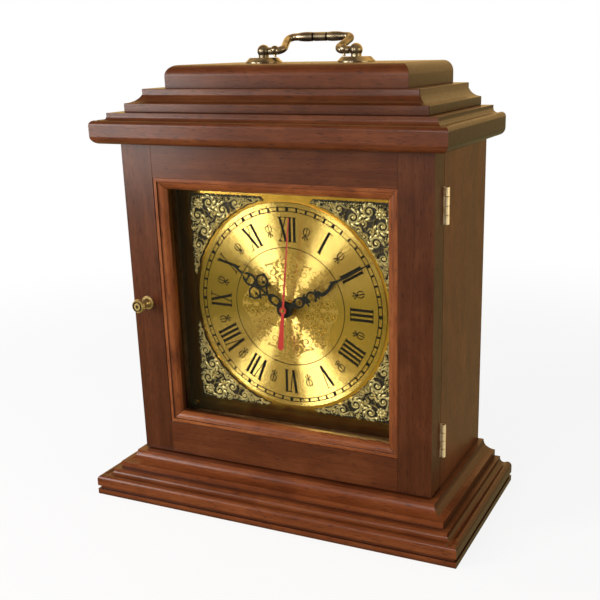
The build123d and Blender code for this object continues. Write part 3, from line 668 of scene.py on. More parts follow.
def dress_nodes(finish: bpy.types.Material, *nodes: str) -> None:
    """Gives CAD nodes a finish and reports them.

    Args:
        finish: their material.
        nodes: the nodes' names.
    """
    for node in nodes:
        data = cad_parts[node].data
        data.materials.clear()
        data.materials.append(finish)
        log.info("%s keeps its solid", node)


def turned(point: Flat, turn: float) -> Flat:
    """Point on the dial, turned clockwise about its centre."""
    x, z = point
    return (x * math.cos(turn) + z * math.sin(turn), z * math.cos(turn) - x * math.sin(turn))


def around(centre: Flat, reach: float, angle: float) -> Flat:
    """Point at that reach and angle from a centre."""
    return (centre[0] + reach * math.cos(angle), centre[1] + reach * math.sin(angle))


def upright_bar(middle: float, half: float, low: float, high: float) -> list[Flat]:
    """Outline of an upright bar of that half width."""
    return [(middle - half, low), (middle + half, low), (middle + half, high), (middle - half, high)]


class Drawing:
    """Strokes and shapes on the dial, in millimetres from its centre and raised towards the viewer."""

    SECTIONS = {
        Relief.ROUND: ((-1.0, 0.0), (-0.72, 0.72), (0.0, 1.0), (0.72, 0.72), (1.0, 0.0)),
        Relief.FLAT: ((-1.0, 0.0), (-1.0, 1.0), (1.0, 1.0), (1.0, 0.0)),
    }
    SHOULDERS = {Relief.ROUND: (0.75, 0.68), Relief.FLAT: (0.98, 1.0)}
    LEAST_RISE = 0.35
    EYE_SHARE = 0.14
    THINNING = 0.45
    STEPS_A_TURN = 14
    ARC_STEPS = 10
    BOSS_SIDES = 10
    RING_SIDES = 180
    CURL_RADIUS = 1.3
    TENDRIL_RADIUS = 1.9
    LEAFY_RADIUS = 3.0
    LARGE_RADIUS = 3.5
    LEAF_STEPS = 5
    LEAF_FOOT = 0.72
    LEAF_REACH = 0.42
    LEAF_CURL = 0.75
    LEAF_WIDTH = 0.19
    LEAF_RISE = 0.82

    def __init__(self, ground_y: float, centre_z: float, relief: Relief = Relief.ROUND) -> None:
        """Starts on a plane that faces the front.

        Args:
            ground_y: the plane's place.
            centre_z: height of the dial's centre.
            relief: section of its strokes.
        """
        self.bm = bmesh.new()
        self.ground_y = ground_y
        self.centre_z = centre_z
        self.relief = relief

    def point(self, x: float, z: float, rise: float) -> bmesh.types.BMVert:
        """Adds a vertex that stands rise millimetres in front of the plane."""
        return self.bm.verts.new((x * MM, self.ground_y - rise * MM, self.centre_z + z * MM))

    def slab(self, outline: Sequence[Flat], low: float, high: float) -> None:
        """Adds a flat shape with upright edges.

        Args:
            outline: its corners, in order.
            low: height of its back.
            high: height of its face.
        """
        area = sum(a[0] * b[1] - b[0] * a[1] for a, b in zip(outline, [*outline[1:], outline[0]]))
        corners = list(outline) if area > 0 else list(reversed(outline))
        face = [self.point(x, z, high) for x, z in corners]
        back = [self.point(x, z, low) for x, z in corners]
        self.bm.faces.new(face)
        self.bm.faces.new(list(reversed(back)))
        for index in range(len(face)):
            after = (index + 1) % len(face)
            self.bm.faces.new([back[index], back[after], face[after], face[index]])

    def stroke(self, path: Sequence[Flat], widths: Sequence[float], low: float, high: float) -> None:
        """Adds a stroke along a path.

        Args:
            path: its points.
            widths: half width at each point.
            low: height of its back.
            high: height of its crest.
        """
        crest = self.SECTIONS[self.relief]
        least = 1.0 if self.relief is Relief.FLAT else self.LEAST_RISE
        rows = []
        for index, ((x, z), half) in enumerate(zip(path, widths)):
            before = path[max(index - 1, 0)]
            after = path[min(index + 1, len(path) - 1)]
            step = Vector((after[0] - before[0], after[1] - before[1])).normalized()
            swell = low + (high - low) * min(1.0, least + half / max(widths) * (1 - self.LEAST_RISE))
            rows.append([
                self.point(x + step.y * side * half, z - step.x * side * half, low + (swell - low) * up)
                for side, up in crest
            ])
        for first, second in zip(rows, rows[1:]):
            ring = len(crest)
            for index in range(ring):
                after = (index + 1) % ring
                self.bm.faces.new([first[index], first[after], second[after], second[index]])
        self.bm.faces.new(list(reversed(rows[0])))
        self.bm.faces.new(rows[-1])

    def scroll(
        self, centre: Flat, radius: float, start: float, turns: float, half: float, low: float, high: float
    ) -> None:
        """Adds a spiral that winds in to a small eye.

        Args:
            centre: its centre.
            radius: its outer radius.
            start: angle of its outer end, in degrees.
            turns: turns to the eye, negative for the other hand.
            half: half width at its outer end.
            low: height of its back.
            high: height of its crest.
        """
        steps = max(self.ARC_STEPS, int(abs(turns) * self.STEPS_A_TURN))
        path = []
        widths = []
        for step in range(steps + 1):
            share = step / steps
            reach = radius * (1 - (1 - self.EYE_SHARE) * share)
            path.append(around(centre, reach, math.radians(start) + math.tau * turns * share))
            widths.append(half * (1 - self.THINNING * share))
        self.stroke(path, widths, low, high)
        self.boss(centre, half * 1.25, low, high)

    def acanthus(self, centre: Flat, radius: float, facing: float, way: int, low: float, high: float) -> None:
        """Adds a scroll with leaves and a tendril along its outside, or a curl where room is short.

        Args:
            centre: its centre.
            radius: its outer radius.
            facing: angle of its outer end, in degrees.
            way: hand of its winding.
            low: height of its back.
            high: height of its crest.
        """
        if radius < self.CURL_RADIUS:
            self.arc(centre, (radius * 0.55, radius * 0.75), facing, way * 230, radius * 0.3, low, high)
            return
        turns = 1.55 if radius > self.LARGE_RADIUS else 1.15
        band = 0.27 + radius * 0.14
        self.scroll(centre, radius * 0.8, facing, way * turns, band, low, high)
        leaves = 6 if radius > self.LEAFY_RADIUS else 4
        for leaf in range(leaves):
            root = math.radians(facing) + way * (0.25 + 4.6 * leaf / leaves)
            self.leaf(centre, radius, root, way, low, low + (high - low) * self.LEAF_RISE)
        if radius > self.TENDRIL_RADIUS:
            self.arc(centre, (radius * 0.98, radius * 1.2), facing + way * 150, way * 150, 0.34, low, high)

    def leaf(self, centre: Flat, radius: float, root: float, way: int, low: float, high: float) -> None:
        """Adds one leaf that curls back along the outside of a scroll.

        Args:
            centre: the scroll's centre.
            radius: the scroll's outer radius.
            root: angle of the leaf's foot, in radians.
            way: hand of the scroll's winding.
            low: height of its back.
            high: height of its crest.
        """
        path = []
        widths = []
        for step in range(self.LEAF_STEPS + 1):
            share = step / self.LEAF_STEPS
            reach = radius * (self.LEAF_FOOT + self.LEAF_REACH * share)
            path.append(around(centre, reach, root - way * share * self.LEAF_CURL))
            widths.append(radius * self.LEAF_WIDTH * math.sin(math.pi * (0.25 + 0.7 * share)) + 0.1)
        self.stroke(path, widths, low, high)

    def arc(
        self, centre: Flat, reach: Flat, start: float, sweep: float, half: float, low: float, high: float
    ) -> None:
        """Adds a thin curved stem that thins out at both ends.

        Args:
            centre: the centre it bends round.
            reach: its radius at the first and the last end.
            start: angle of its first end, in degrees.
            sweep: angle it covers, negative for the other hand.
            half: half width at its middle.
            low: height of its back.
            high: height of its crest.
        """
        path = []
        widths = []
        for step in range(self.ARC_STEPS + 1):
            share = step / self.ARC_STEPS
            radius = reach[0] + (reach[1] - reach[0]) * share
            path.append(around(centre, radius, math.radians(start + sweep * share)))
            widths.append(half * (0.4 + 0.6 * math.sin(math.pi * share)))
        self.stroke(path, widths, low, high)

    def boss(self, centre: Flat, radius: float, low: float, high: float) -> None:
        """Adds a small dome.

        Args:
            centre: its centre.
            radius: its radius.
            low: height of its back.
            high: height of its top.
        """
        sides = self.BOSS_SIDES
        top = self.point(*centre, high)
        turns = [math.tau * i / sides for i in range(sides)]
        rings = [
            [self.point(*around(centre, radius * share, turn), low + (high - low) * up) for turn in turns]
            for share, up in ((1.0, 0.0), self.SHOULDERS[self.relief])
        ]
        outer, inner = rings
        for i in range(sides):
            after = (i + 1) % sides
            self.bm.faces.new([outer[i], outer[after], inner[after], inner[i]])
            self.bm.faces.new([inner[i], inner[after], top])
        self.bm.faces.new(list(reversed(outer)))

    def ring(self, radius: float, half: float, low: float, high: float) -> None:
        """Adds a thin flat ring about the centre.

        Args:
            radius: its middle radius.
            half: half its width.
            low: height of its back.
            high: height of its face.
        """
        sides = self.RING_SIDES
        turns = [math.tau * i / sides for i in range(sides)]
        rows = [
            [self.point(reach * math.sin(turn), reach * math.cos(turn), rise) for turn in turns]
            for reach, rise in upright_bar(radius, half, low, high)
        ]
        for first, second in zip(rows, [*rows[1:], rows[0]]):
            for i in range(sides):
                after = (i + 1) % sides
                self.bm.faces.new([first[i], first[after], second[after], second[i]])

    def mesh(self, name: str, smooth: bool) -> bpy.types.Mesh:
        """Ends the drawing.

        Args:
            name: the mesh's name.
            smooth: whether its faces are shaded round.

        Returns:
            The mesh, with its faces outward.
        """
        bmesh.ops.recalc_face_normals(self.bm, faces=self.bm.faces)
        for face in self.bm.faces:
            face.smooth = smooth
        made = bpy.data.meshes.new(name)
        self.bm.to_mesh(made)
        self.bm.free()
        return made


class NodeTree:
    """A Geometry Nodes tree with named inputs, which ends in real geometry with one material."""

    def __init__(self, name: str, inputs: dict[str, str]) -> None:
        """Starts a tree with a geometry input, the named inputs and a material input.

        Args:
            name: the tree's name.
            inputs: names and socket types of its inputs.
        """
        self.tree = bpy.data.node_groups.new(name, "GeometryNodeTree")
        face = self.tree.interface
        face.new_socket("Geometry", in_out="INPUT", socket_type="NodeSocketGeometry")
        self.names = {
            key: face.new_socket(key, in_out="INPUT", socket_type=kind)
            for key, kind in {**inputs, "Material": "NodeSocketMaterial"}.items()
        }
        face.new_socket("Geometry", in_out="OUTPUT", socket_type="NodeSocketGeometry")
        self.start = self.tree.nodes.new("NodeGroupInput").outputs

    def node(
        self, kind: str, settings: dict | None = None, sockets: dict | None = None, output: int = 0
    ) -> bpy.types.NodeSocket:
        """Adds a node.

        Args:
            kind: the node's type.
            settings: its properties, set first.
            sockets: values or output sockets for its inputs, by name or place.
            output: place of the output that is wanted.

        Returns:
            That output.
        """
        made = self.tree.nodes.new(kind)
        for name, value in (settings or {}).items():
            setattr(made, name, value)
        for key, value in (sockets or {}).items():
            if isinstance(value, bpy.types.NodeSocket):
                self.tree.links.new(value, made.inputs[key])
            else:
                made.inputs[key].default_value = value
        return made.outputs[output]

    def math(self, operation: str, *operands: bpy.types.NodeSocket | float) -> bpy.types.NodeSocket:
        """Math node on those operands."""
        return self.node("ShaderNodeMath", {"operation": operation}, dict(enumerate(operands)))

    def move(self, geometry: bpy.types.NodeSocket, height: bpy.types.NodeSocket) -> bpy.types.NodeSocket:
        """Geometry, moved up by a height."""
        lift = self.node("ShaderNodeCombineXYZ", None, {"Z": height})
        return self.node("GeometryNodeTransform", None, {0: geometry, "Translation": lift})

    def end(self, geometry: bpy.types.NodeSocket) -> None:
        """Makes instances real and sets the material.

        Args:
            geometry: the tree's result.
        """
        real = self.node("GeometryNodeRealizeInstances", None, {0: geometry})
        dressed = self.node("GeometryNodeSetMaterial", None, {0: real, "Material": self.start["Material"]})
        last = self.tree.nodes.new("NodeGroupOutput")
        self.tree.links.new(dressed, last.inputs[0])

    def run(
        self, name: str, mesh: bpy.types.Mesh, values: dict, finish: bpy.types.Material
    ) -> bpy.types.Mesh:
        """Runs the tree on a mesh and turns the result into a plain mesh.

        Args:
            name: the result's name.
            mesh: the tree's geometry input.
            values: values of its named inputs.
            finish: its material.

        Returns:
            The plain mesh.
        """
        holder = add_object(name + "_source", mesh)
        modifier = holder.modifiers.new(name, "NODES")
        modifier.node_group = self.tree
        for key, value in {**values, "Material": finish}.items():
            modifier[self.names[key].identifier] = value
        graph = bpy.context.evaluated_depsgraph_get()
        made = bpy.data.meshes.new_from_object(holder.evaluated_get(graph))
        made.name = name
        holder.modifiers.remove(modifier)
        bpy.data.objects.remove(holder)
        return made


def ring_tree() -> NodeTree:
    """Tree that sets copies of a motif round the dial's axis, each turned to point outward.

    Returns:
        The tree. Its motif points up, at its own distance from the axis.
    """
    inputs = {
        "Count": "NodeSocketInt",
        "First": "NodeSocketFloat",
        "Group": "NodeSocketInt",
        "Least": "NodeSocketInt",
        "Height": "NodeSocketFloat",
    }
    tree = NodeTree("copies_round_the_dial", inputs)
    start = tree.start
    points = tree.node("GeometryNodePoints", None, {"Count": start["Count"]})
    index = tree.node("GeometryNodeInputIndex")
    step = tree.math("DIVIDE", math.tau, start["Count"])
    turn = tree.math("MULTIPLY_ADD", index, step, start["First"])
    place = tree.math("MODULO", index, start["Group"])
    copies = tree.node("GeometryNodeInstanceOnPoints", None, {
        "Points": points,
        "Selection": tree.math("GREATER_THAN", tree.math("ADD", place, 0.5), start["Least"]),
        "Instance": start["Geometry"],
        "Rotation": tree.node("ShaderNodeCombineXYZ", None, {"Y": turn}),
    })
    tree.end(tree.move(copies, start["Height"]))
    return tree


def bead_tree() -> NodeTree:
    """Tree that sets beads along the edges of a mesh.

    Returns:
        The tree.
    """
    inputs = {
        "Pitch": "NodeSocketFloat",
        "Radius": "NodeSocketFloat",
        "Least": "NodeSocketFloat",
        "Most": "NodeSocketFloat",
        "Seed": "NodeSocketInt",
    }
    tree = NodeTree("beads_along_an_edge", inputs)
    start = tree.start
    line = tree.node("GeometryNodeMeshToCurve", None, {0: start["Geometry"]})
    sizes = {2: start["Least"], 3: start["Most"], "Seed": start["Seed"]}
    copies = tree.node("GeometryNodeInstanceOnPoints", None, {
        "Points": tree.node(
            "GeometryNodeResampleCurve", {"mode": "LENGTH"}, {0: line, "Length": start["Pitch"]}
        ),
        "Instance": tree.node(
            "GeometryNodeMeshIcoSphere", None, {"Radius": start["Radius"], "Subdivisions": 2}
        ),
        "Scale": tree.node("FunctionNodeRandomValue", {"data_type": "FLOAT"}, sizes, 1),
    })
    tree.end(copies)
    return tree


def screw_tree() -> NodeTree:
    """Tree that sets a slotted screw head at each point of a mesh, its slot at a chance angle.

    Returns:
        The tree. Its heads face along -Y.
    """
    inputs = {
        "Radius": "NodeSocketFloat",
        "Depth": "NodeSocketFloat",
        "Slot": "NodeSocketFloat",
        "Seed": "NodeSocketInt",
    }
    tree = NodeTree("slotted_screw_heads", inputs)
    start = tree.start
    sizes = {"Vertices": 28, "Radius": start["Radius"], "Depth": start["Depth"]}
    head = tree.node("GeometryNodeMeshCylinder", None, sizes)
    wide = tree.math("MULTIPLY", start["Radius"], 3.0)
    size = tree.node("ShaderNodeCombineXYZ", None, {"X": wide, "Y": start["Slot"], "Z": start["Depth"]})
    cutter = tree.node("GeometryNodeMeshCube", None, {"Size": size})
    raised = tree.move(cutter, tree.math("MULTIPLY", start["Depth"], 0.55))
    cut = tree.node("GeometryNodeMeshBoolean", {"operation": "DIFFERENCE"}, {0: head, 1: raised})
    angles = {0: (0.0, 0.0, 0.0), 1: (0.0, math.pi, 0.0), "Seed": start["Seed"]}
    copies = tree.node("GeometryNodeInstanceOnPoints", None, {
        "Points": tree.node("GeometryNodeMeshToPoints", None, {0: start["Geometry"]}),
        "Instance": tree.node("GeometryNodeTransform", None, {0: cut, "Rotation": (math.pi / 2, 0, 0)}),
        "Rotation": tree.node("FunctionNodeRandomValue", {"data_type": "FLOAT_VECTOR"}, angles),
    })
    tree.end(copies)
    return tree


def point_mesh(
    name: str, points: Sequence[Solid], edges: Sequence[tuple[int, int]] = ()
) -> bpy.types.Mesh:
    """Mesh of bare points, with edges between some if wanted.

    Args:
        name: its name.
        points: its points, in metres.
        edges: pairs of points that are joined.

    Returns:
        The mesh.
    """
    made = bpy.data.meshes.new(name)
    made.from_pydata(points, edges, [])
    return made


def softened_copy(
    node: str, arris: float, reshape: Callable[[bmesh.types.BMesh], None] | None = None
) -> bpy.types.Object:
    """Copy of a wooden CAD node with its sharp edges eased, as sanding leaves them.

    Args:
        node: the CAD node.
        arris: width of the eased edge, in metres.
        reshape: what is done to the shape first, if anything.

    Returns:
        The copy, named for the node.
    """
    name = node + "_wood"
    shape = bmesh.new()
    shape.from_mesh(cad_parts[node].data)
    bmesh.ops.remove_doubles(shape, verts=shape.verts, dist=SAME_POINT)
    bmesh.ops.dissolve_limit(
        shape,
        angle_limit=FLAT_TURN,
        verts=shape.verts,
        edges=shape.edges,
        use_dissolve_boundaries=False,
    )
    if reshape is not None:
        reshape(shape)
    mesh = bpy.data.meshes.new(name)
    shape.to_mesh(mesh)
    shape.free()
    mesh.materials.clear()
    mesh.shade_smooth()
    piece = add_object(name, mesh)
    ease = piece.modifiers.new("arris", "BEVEL")
    ease.width = arris
    ease.segments = 2
    ease.limit_method = "ANGLE"
    ease.angle_limit = SHARP_TURN
    ease.use_clamp_overlap = True
    ease.miter_outer = "MITER_ARC"
    flatten = piece.modifiers.new("flat_faces", "WEIGHTED_NORMAL")
    flatten.mode = "FACE_AREA"
    flatten.weight = 100
    graph = bpy.context.evaluated_depsgraph_get()
    eased = bpy.data.meshes.new_from_object(piece.evaluated_get(graph))
    piece.modifiers.clear()
    piece.data = eased
    eased.name = name
    return piece


@dataclass
class WoodenCase:
    """Base, sides, crown and back."""

    arris: float = 0.0006
    lip_height: float = 0.0052
    lip_slope: float = 33.0
    lip_strips: int = 8
    # Share of painted corner shade on the base boards, stronger than on the rest.
    base_corner_shade: float = 0.75
    # Grain and tone of each board. The tones hold painted light and shade: the base boards lighter and the
    # crown boards darker for how light falls on them, besides each board's own stain.
    boards: dict[str, tuple[Grain, float]] = field(default_factory=lambda: {
        "base_lower_board": (Grain.ACROSS, 1.0),
        "base_upper_board": (Grain.ACROSS, 1.14),
        "case_side_left": (Grain.UPRIGHT, 0.8),
        "case_side_right": (Grain.UPRIGHT, 0.8),
        "cornice_board": (Grain.ACROSS, 0.72),
        "crown_middle_board": (Grain.ACROSS, 0.6),
        "crown_top_cap": (Grain.ACROSS, 0.74),
    })
    plain: tuple[str, ...] = ("back_panel", "dial_backboard", "dial_cleats")
    bare: StainedWood = StainedWood(
        grain=Grain.UPRIGHT,
        board=20,
        dark=srgb(92, 60, 34),
        middle=srgb(120, 82, 50),
        light=srgb(146, 104, 66),
        pore=srgb(70, 44, 26),
        roughness=0.6,
        coat=0.0,
    )

    def build(self) -> None:
        """Eases the boards' edges and stains them; the hidden boards stay bare."""
        for number, (node, (grain, depth)) in enumerate(self.boards.items()):
            reshape = self.curve_lip if node == "base_upper_board" else None
            piece = softened_copy(node, self.arris, reshape)
            # The base boards take stronger painted corner shade.
            corner_shade = self.base_corner_shade if node.startswith("base") else StainedWood.corner_shade
            finish = StainedWood(grain, number, depth=depth, corner_shade=corner_shade).material("stained_" + node)
            finish_piece(piece, "case", finish, [node])
        dress_nodes(self.bare.material("bare_board"), *self.plain)

    def curve_lip(self, shape: bmesh.types.BMesh) -> None:
        """Runs the upper base board's lip into its cove in one sweep, as the cutter leaves it.

        Args:
            shape: the board, before its edges are eased.
        """
        top = max(vert.co.z for vert in shape.verts)
        rim = [vert.co for vert in shape.verts if vert.co.z > top - ON_EDGE]
        front = min(co.y for co in rim)
        side = max(co.x for co in rim)
        slope = math.radians(self.lip_slope)
        for strip in range(1, self.lip_strips):
            cut = (0, 0, top - self.lip_height * strip / self.lip_strips)
            whole = [*shape.verts, *shape.edges, *shape.faces]
            bmesh.ops.bisect_plane(shape, geom=whole, plane_co=cut, plane_no=(0, 0, 1))
        for vert in shape.verts:
            share = (top - vert.co.z) / self.lip_height
            if 0 < share < 1:
                reach = -self.lip_height * math.log(math.cos(slope * share)) / slope
                if vert.co.y < front + ON_EDGE:
                    vert.co.y = front - reach
                if abs(vert.co.x) > side - ON_EDGE:
                    vert.co.x = math.copysign(side + reach, vert.co.x)


@dataclass
class GlazedDoor:
    """Door frame, inner moulding and pane."""

    arris: float = 0.0003
    first_board: int = 8
    stop_board: int = 13
    moulding_board: int = 14
    moulding_depth: float = 0.68
    moulding_tones: tuple[Colour, Colour, Colour] = (srgb(92, 44, 20), srgb(136, 72, 34), srgb(166, 98, 52))
    # Grain and tone of each frame part. The low tones are partly painted shade, darker than the case for how
    # light falls on the door, besides each part's own stain.
    frame_parts: dict[str, tuple[Grain, float]] = field(default_factory=lambda: {
        "door_stile_left": (Grain.UPRIGHT, 0.52),
        "door_stile_right": (Grain.UPRIGHT, 0.48),
        "door_rail_top": (Grain.ACROSS, 0.55),
        "door_rail_bottom": (Grain.ACROSS, 0.65),
    })

    def build(self) -> None:
        """Builds the frame and the moulding and dresses the pane and its stops."""
        for number, (node, (grain, depth)) in enumerate(self.frame_parts.items()):
            piece = softened_copy(node, self.arris)
            finish = StainedWood(grain, self.first_board + number, depth=depth).material("stained_" + node)
            finish_piece(piece, "door", finish, [node])
        self.moulding()
        stops = StainedWood(Grain.ACROSS, self.stop_board, depth=self.moulding_depth)
        dress_nodes(stops.material("stained_stops"), "glass_stops")
        dress_nodes(ClearGlass().material("clear_pane"), "door_glass")

    def moulding(self) -> None:
        """Builds the mitred moulding, with the grain of each strip along it."""
        piece = softened_copy("door_moulding", self.arris)
        for number, grain in enumerate((Grain.ACROSS, Grain.UPRIGHT)):
            board = self.moulding_board + number
            finish = StainedWood(grain, board, *self.moulding_tones, depth=self.moulding_depth)
            piece.data.materials.append(finish.material("moulding_" + grain.name.lower()))
        low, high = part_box("door_moulding")
        middle = (low + high) / 2
        for polygon in piece.data.polygons:
            offset = polygon.center - middle
            polygon.material_index = int(abs(offset.x) > abs(offset.z))
        finish_piece(piece, "door", None, ["door_moulding"])


def spiral_packing(
    inside: Callable[[float, float], float],
    spans: tuple[Flat, Flat],
    sizes: Sequence[float],
    seed: int,
    tries: int,
) -> list[Solid]:
    """Packs circles into a region, the large ones first.

    Args:
        inside: distance from a point to the region's edge, positive inside.
        spans: the region's range across and up.
        sizes: radii, from large to small.
        seed: seed of the draws.
        tries: draws for each radius.

    Returns:
        Circles of (x, z, radius).
    """
    draw = random.Random(seed)
    circles: list[Solid] = []
    for size in sizes:
        for _ in range(tries):
            x = draw.uniform(*spans[0])
            z = draw.uniform(*spans[1])
            if inside(x, z) < size:
                continue
            if all(math.hypot(x - cx, z - cz) > (size + cr) * CLOSE_PACKING for cx, cz, cr in circles):
                circles.append((x, z, size))
    return circles


@dataclass
class CornerOrnaments:
    """Four cast corner pieces of scrolls and leaves on a solid ground, dark with patina and painted shade where
    the pierced gaps and the shadow round the edges would be.
    """

    half: float = 93.0
    leg: float = 70.5
    inner_radius: float = 93.8
    rise: float = 3.0
    ground: float = 1.0
    # The dark ground runs this far past the strokes, as a painted shadow along the corner piece's edges.
    edge: float = 0.9
    rim_inset: float = 1.3
    rim_half: float = 0.5
    footing: float = 0.6
    leg_steps: int = 44
    wave: float = 0.45
    wave_turn: float = 1.55
    dial_steps: int = 60
    scallop: float = 0.8
    scallop_steps: int = 6
    scroll_sizes: tuple[float, ...] = (7.0, 5.6, 4.6, 3.8, 3.1, 2.5, 2.0, 1.5, 1.15, 0.9)
    scroll_span: float = 40.0
    seed: int = 7
    tries: int = 900
    flower_inset: float = 8.4
    flower_petals: int = 8
    petal_reach: float = 3.1
    petal_radius: float = 1.3
    eye_radius: float = 2.0
    edge_steps: int = 40
    bead_inset: float = 1.2
    bead_end: float = 3.0
    bead_pitch: float = 2.1
    bead_radius: float = 0.85
    bead_least: float = 0.75
    bead_most: float = 1.2
    bead_seed: int = 3
    corners: dict[str, Flat] = field(default_factory=lambda: {
        "spandrel_top_left": (-1, 1),
        "spandrel_top_right": (1, 1),
        "spandrel_bottom_left": (-1, -1),
        "spandrel_bottom_right": (1, -1),
    })

    def margin(self, a: float, b: float) -> float:
        """Distance inside the corner's outline, for a point measured from its corner along the two legs."""
        from_centre = math.hypot(self.half - a, self.half - b)
        return min(a, b, self.leg - a, self.leg - b, from_centre - self.inner_radius)

    def outline(self) -> list[Flat]:
        """Ground's outline from the corner: wavy along the legs and scalloped along the dial.

        Returns:
            Its points, measured along the two legs.
        """
        alongs = [self.leg * i / self.leg_steps for i in range(self.leg_steps)]
        backs = [self.leg * (1 - i / self.leg_steps) for i in range(self.leg_steps)]
        first = [(along, self.wavy(along)) for along in alongs]
        second = [(self.wavy(along), along) for along in backs]
        return [*first, *self.dial_side(0.0), *second]

    def wavy(self, along: float) -> float:
        """Inset of the wavy edge at that place along a leg."""
        return self.wave * math.cos(along * self.wave_turn) - self.edge

    def dial_side(self, inset: float) -> list[Flat]:
        """Scalloped edge beside the dial.

        Args:
            inset: distance from the ground's own edge.

        Returns:
            Its points, measured along the two legs.
        """
        points: list[Flat] = []
        arc_end = math.asin((self.half - self.leg) / self.inner_radius)
        for i in range(self.dial_steps + 1):
            angle = arc_end + (math.pi / 2 - 2 * arc_end) * i / self.dial_steps
            bulge = self.scallop * abs(math.sin(i * math.pi / self.scallop_steps))
            reach = self.inner_radius - self.edge + inset + bulge
            points.append((self.half - reach * math.sin(angle), self.half - reach * math.cos(angle)))
        return points

    def place(self, side: Flat, a: float, b: float) -> Flat:
        """Point on the dial of a point measured from a corner."""
        return (side[0] * (self.half - a), side[1] * (self.half - b))

    def scrolls(self) -> list[Solid]:
        """Scrolls of one half of a corner, which its other half mirrors.

        Returns:
            Circles of (a, b, radius), measured along the two legs.
        """
        def inside(a: float, b: float) -> float:
            """Distance inside one half of the corner."""
            return min(self.margin(a, b) + 0.5, (a - b) / math.sqrt(2) + 0.2)

        spans = ((0, self.leg), (0, self.scroll_span))
        return spiral_packing(inside, spans, self.scroll_sizes, self.seed, self.tries)

    def draw_corner(self, side: Flat, drawing: Drawing) -> None:
        """Draws one corner.

        Args:
            side: signs of its place on the dial.
            drawing: the drawing that takes it.
        """
        # Solid dark ground: painted shade standing in for the pierced gaps and the edge shadow.
        drawing.slab([self.place(side, a, b) for a, b in self.outline()], 0.0, self.ground)
        root = self.ground * self.footing
        draw = random.Random(self.seed + 1)
        for a, b, radius in self.scrolls():
            start = draw.uniform(0, 360)
            hand = draw.choice((-1, 1))
            level = self.rise * min(1.0, 0.76 + radius * 0.04)
            for flip in (False, True):
                spot = self.place(side, b, a) if flip else self.place(side, a, b)
                angle = math.radians(90 - start if flip else start)
                facing = math.degrees(math.atan2(side[1] * math.sin(angle), side[0] * math.cos(angle)))
                way = hand if (side[0] * side[1] > 0) == flip else -hand
                drawing.acanthus(spot, radius, facing, way, root, level)
        rim = [self.place(side, a, b) for a, b in self.dial_side(self.rim_inset)]
        drawing.stroke(rim, [self.rim_half] * len(rim), root, self.rise * 0.8)
        centre = self.place(side, self.flower_inset, self.flower_inset)
        for petal in range(self.flower_petals):
            spot = around(centre, self.petal_reach, math.tau * petal / self.flower_petals)
            drawing.boss(spot, self.petal_radius, self.ground, self.rise * 0.85)
        drawing.boss(centre, self.eye_radius, self.ground, self.rise)

    def bead_row(self, side: Flat) -> list[Flat]:
        """Line of the beads along the two legs of a corner.

        Args:
            side: signs of its place on the dial.

        Returns:
            Its points on the dial.
        """
        row: list[Flat] = []
        for step in range(self.edge_steps + 1):
            share = abs(2 * step / self.edge_steps - 1)
            along = self.bead_end + (self.leg - 2 * self.bead_end) * share
            first_leg = step < self.edge_steps / 2
            a, b = (along, self.bead_inset) if first_leg else (self.bead_inset, along)
            row.append(self.place(side, a, b))
        return row

    def build(self, beads: NodeTree) -> None:
        """Builds the four corners and the beads along their edges.

        Args:
            beads: the tree that sets beads along an edge.
        """
        low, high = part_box("dial_plate")
        ground_y = low.y
        centre_z = (low.z + high.z) / 2
        finish = CastBrass(ground_y - self.ground * MM, ground_y - self.rise * MM).material("cast_brass")
        points: list[Solid] = []
        edges: list[tuple[int, int]] = []
        for node, side in self.corners.items():
            drawing = Drawing(ground_y, centre_z)
            self.draw_corner(side, drawing)
            piece = add_object(node + "_cast", drawing.mesh(node + "_cast", True))
            piece.data.set_sharp_from_angle(angle=CREASE_TURN)
            finish_piece(piece, "case", finish, [node])
            row = self.bead_row(side)
            edges += [(len(points) + step, len(points) + step + 1) for step in range(len(row) - 1)]
            points += [(x * MM, ground_y - self.ground * MM, centre_z + z * MM) for x, z in row]
        sizes = {
            "Pitch": self.bead_pitch * MM,
            "Radius": self.bead_radius * MM,
            "Least": self.bead_least,
            "Most": self.bead_most,
            "Seed": self.bead_seed,
        }
        result = beads.run("corner_beads", point_mesh("corner_edges", points, edges), sizes, finish)
        result.shade_smooth()
        finish_piece(add_object("corner_beads", result), "case")


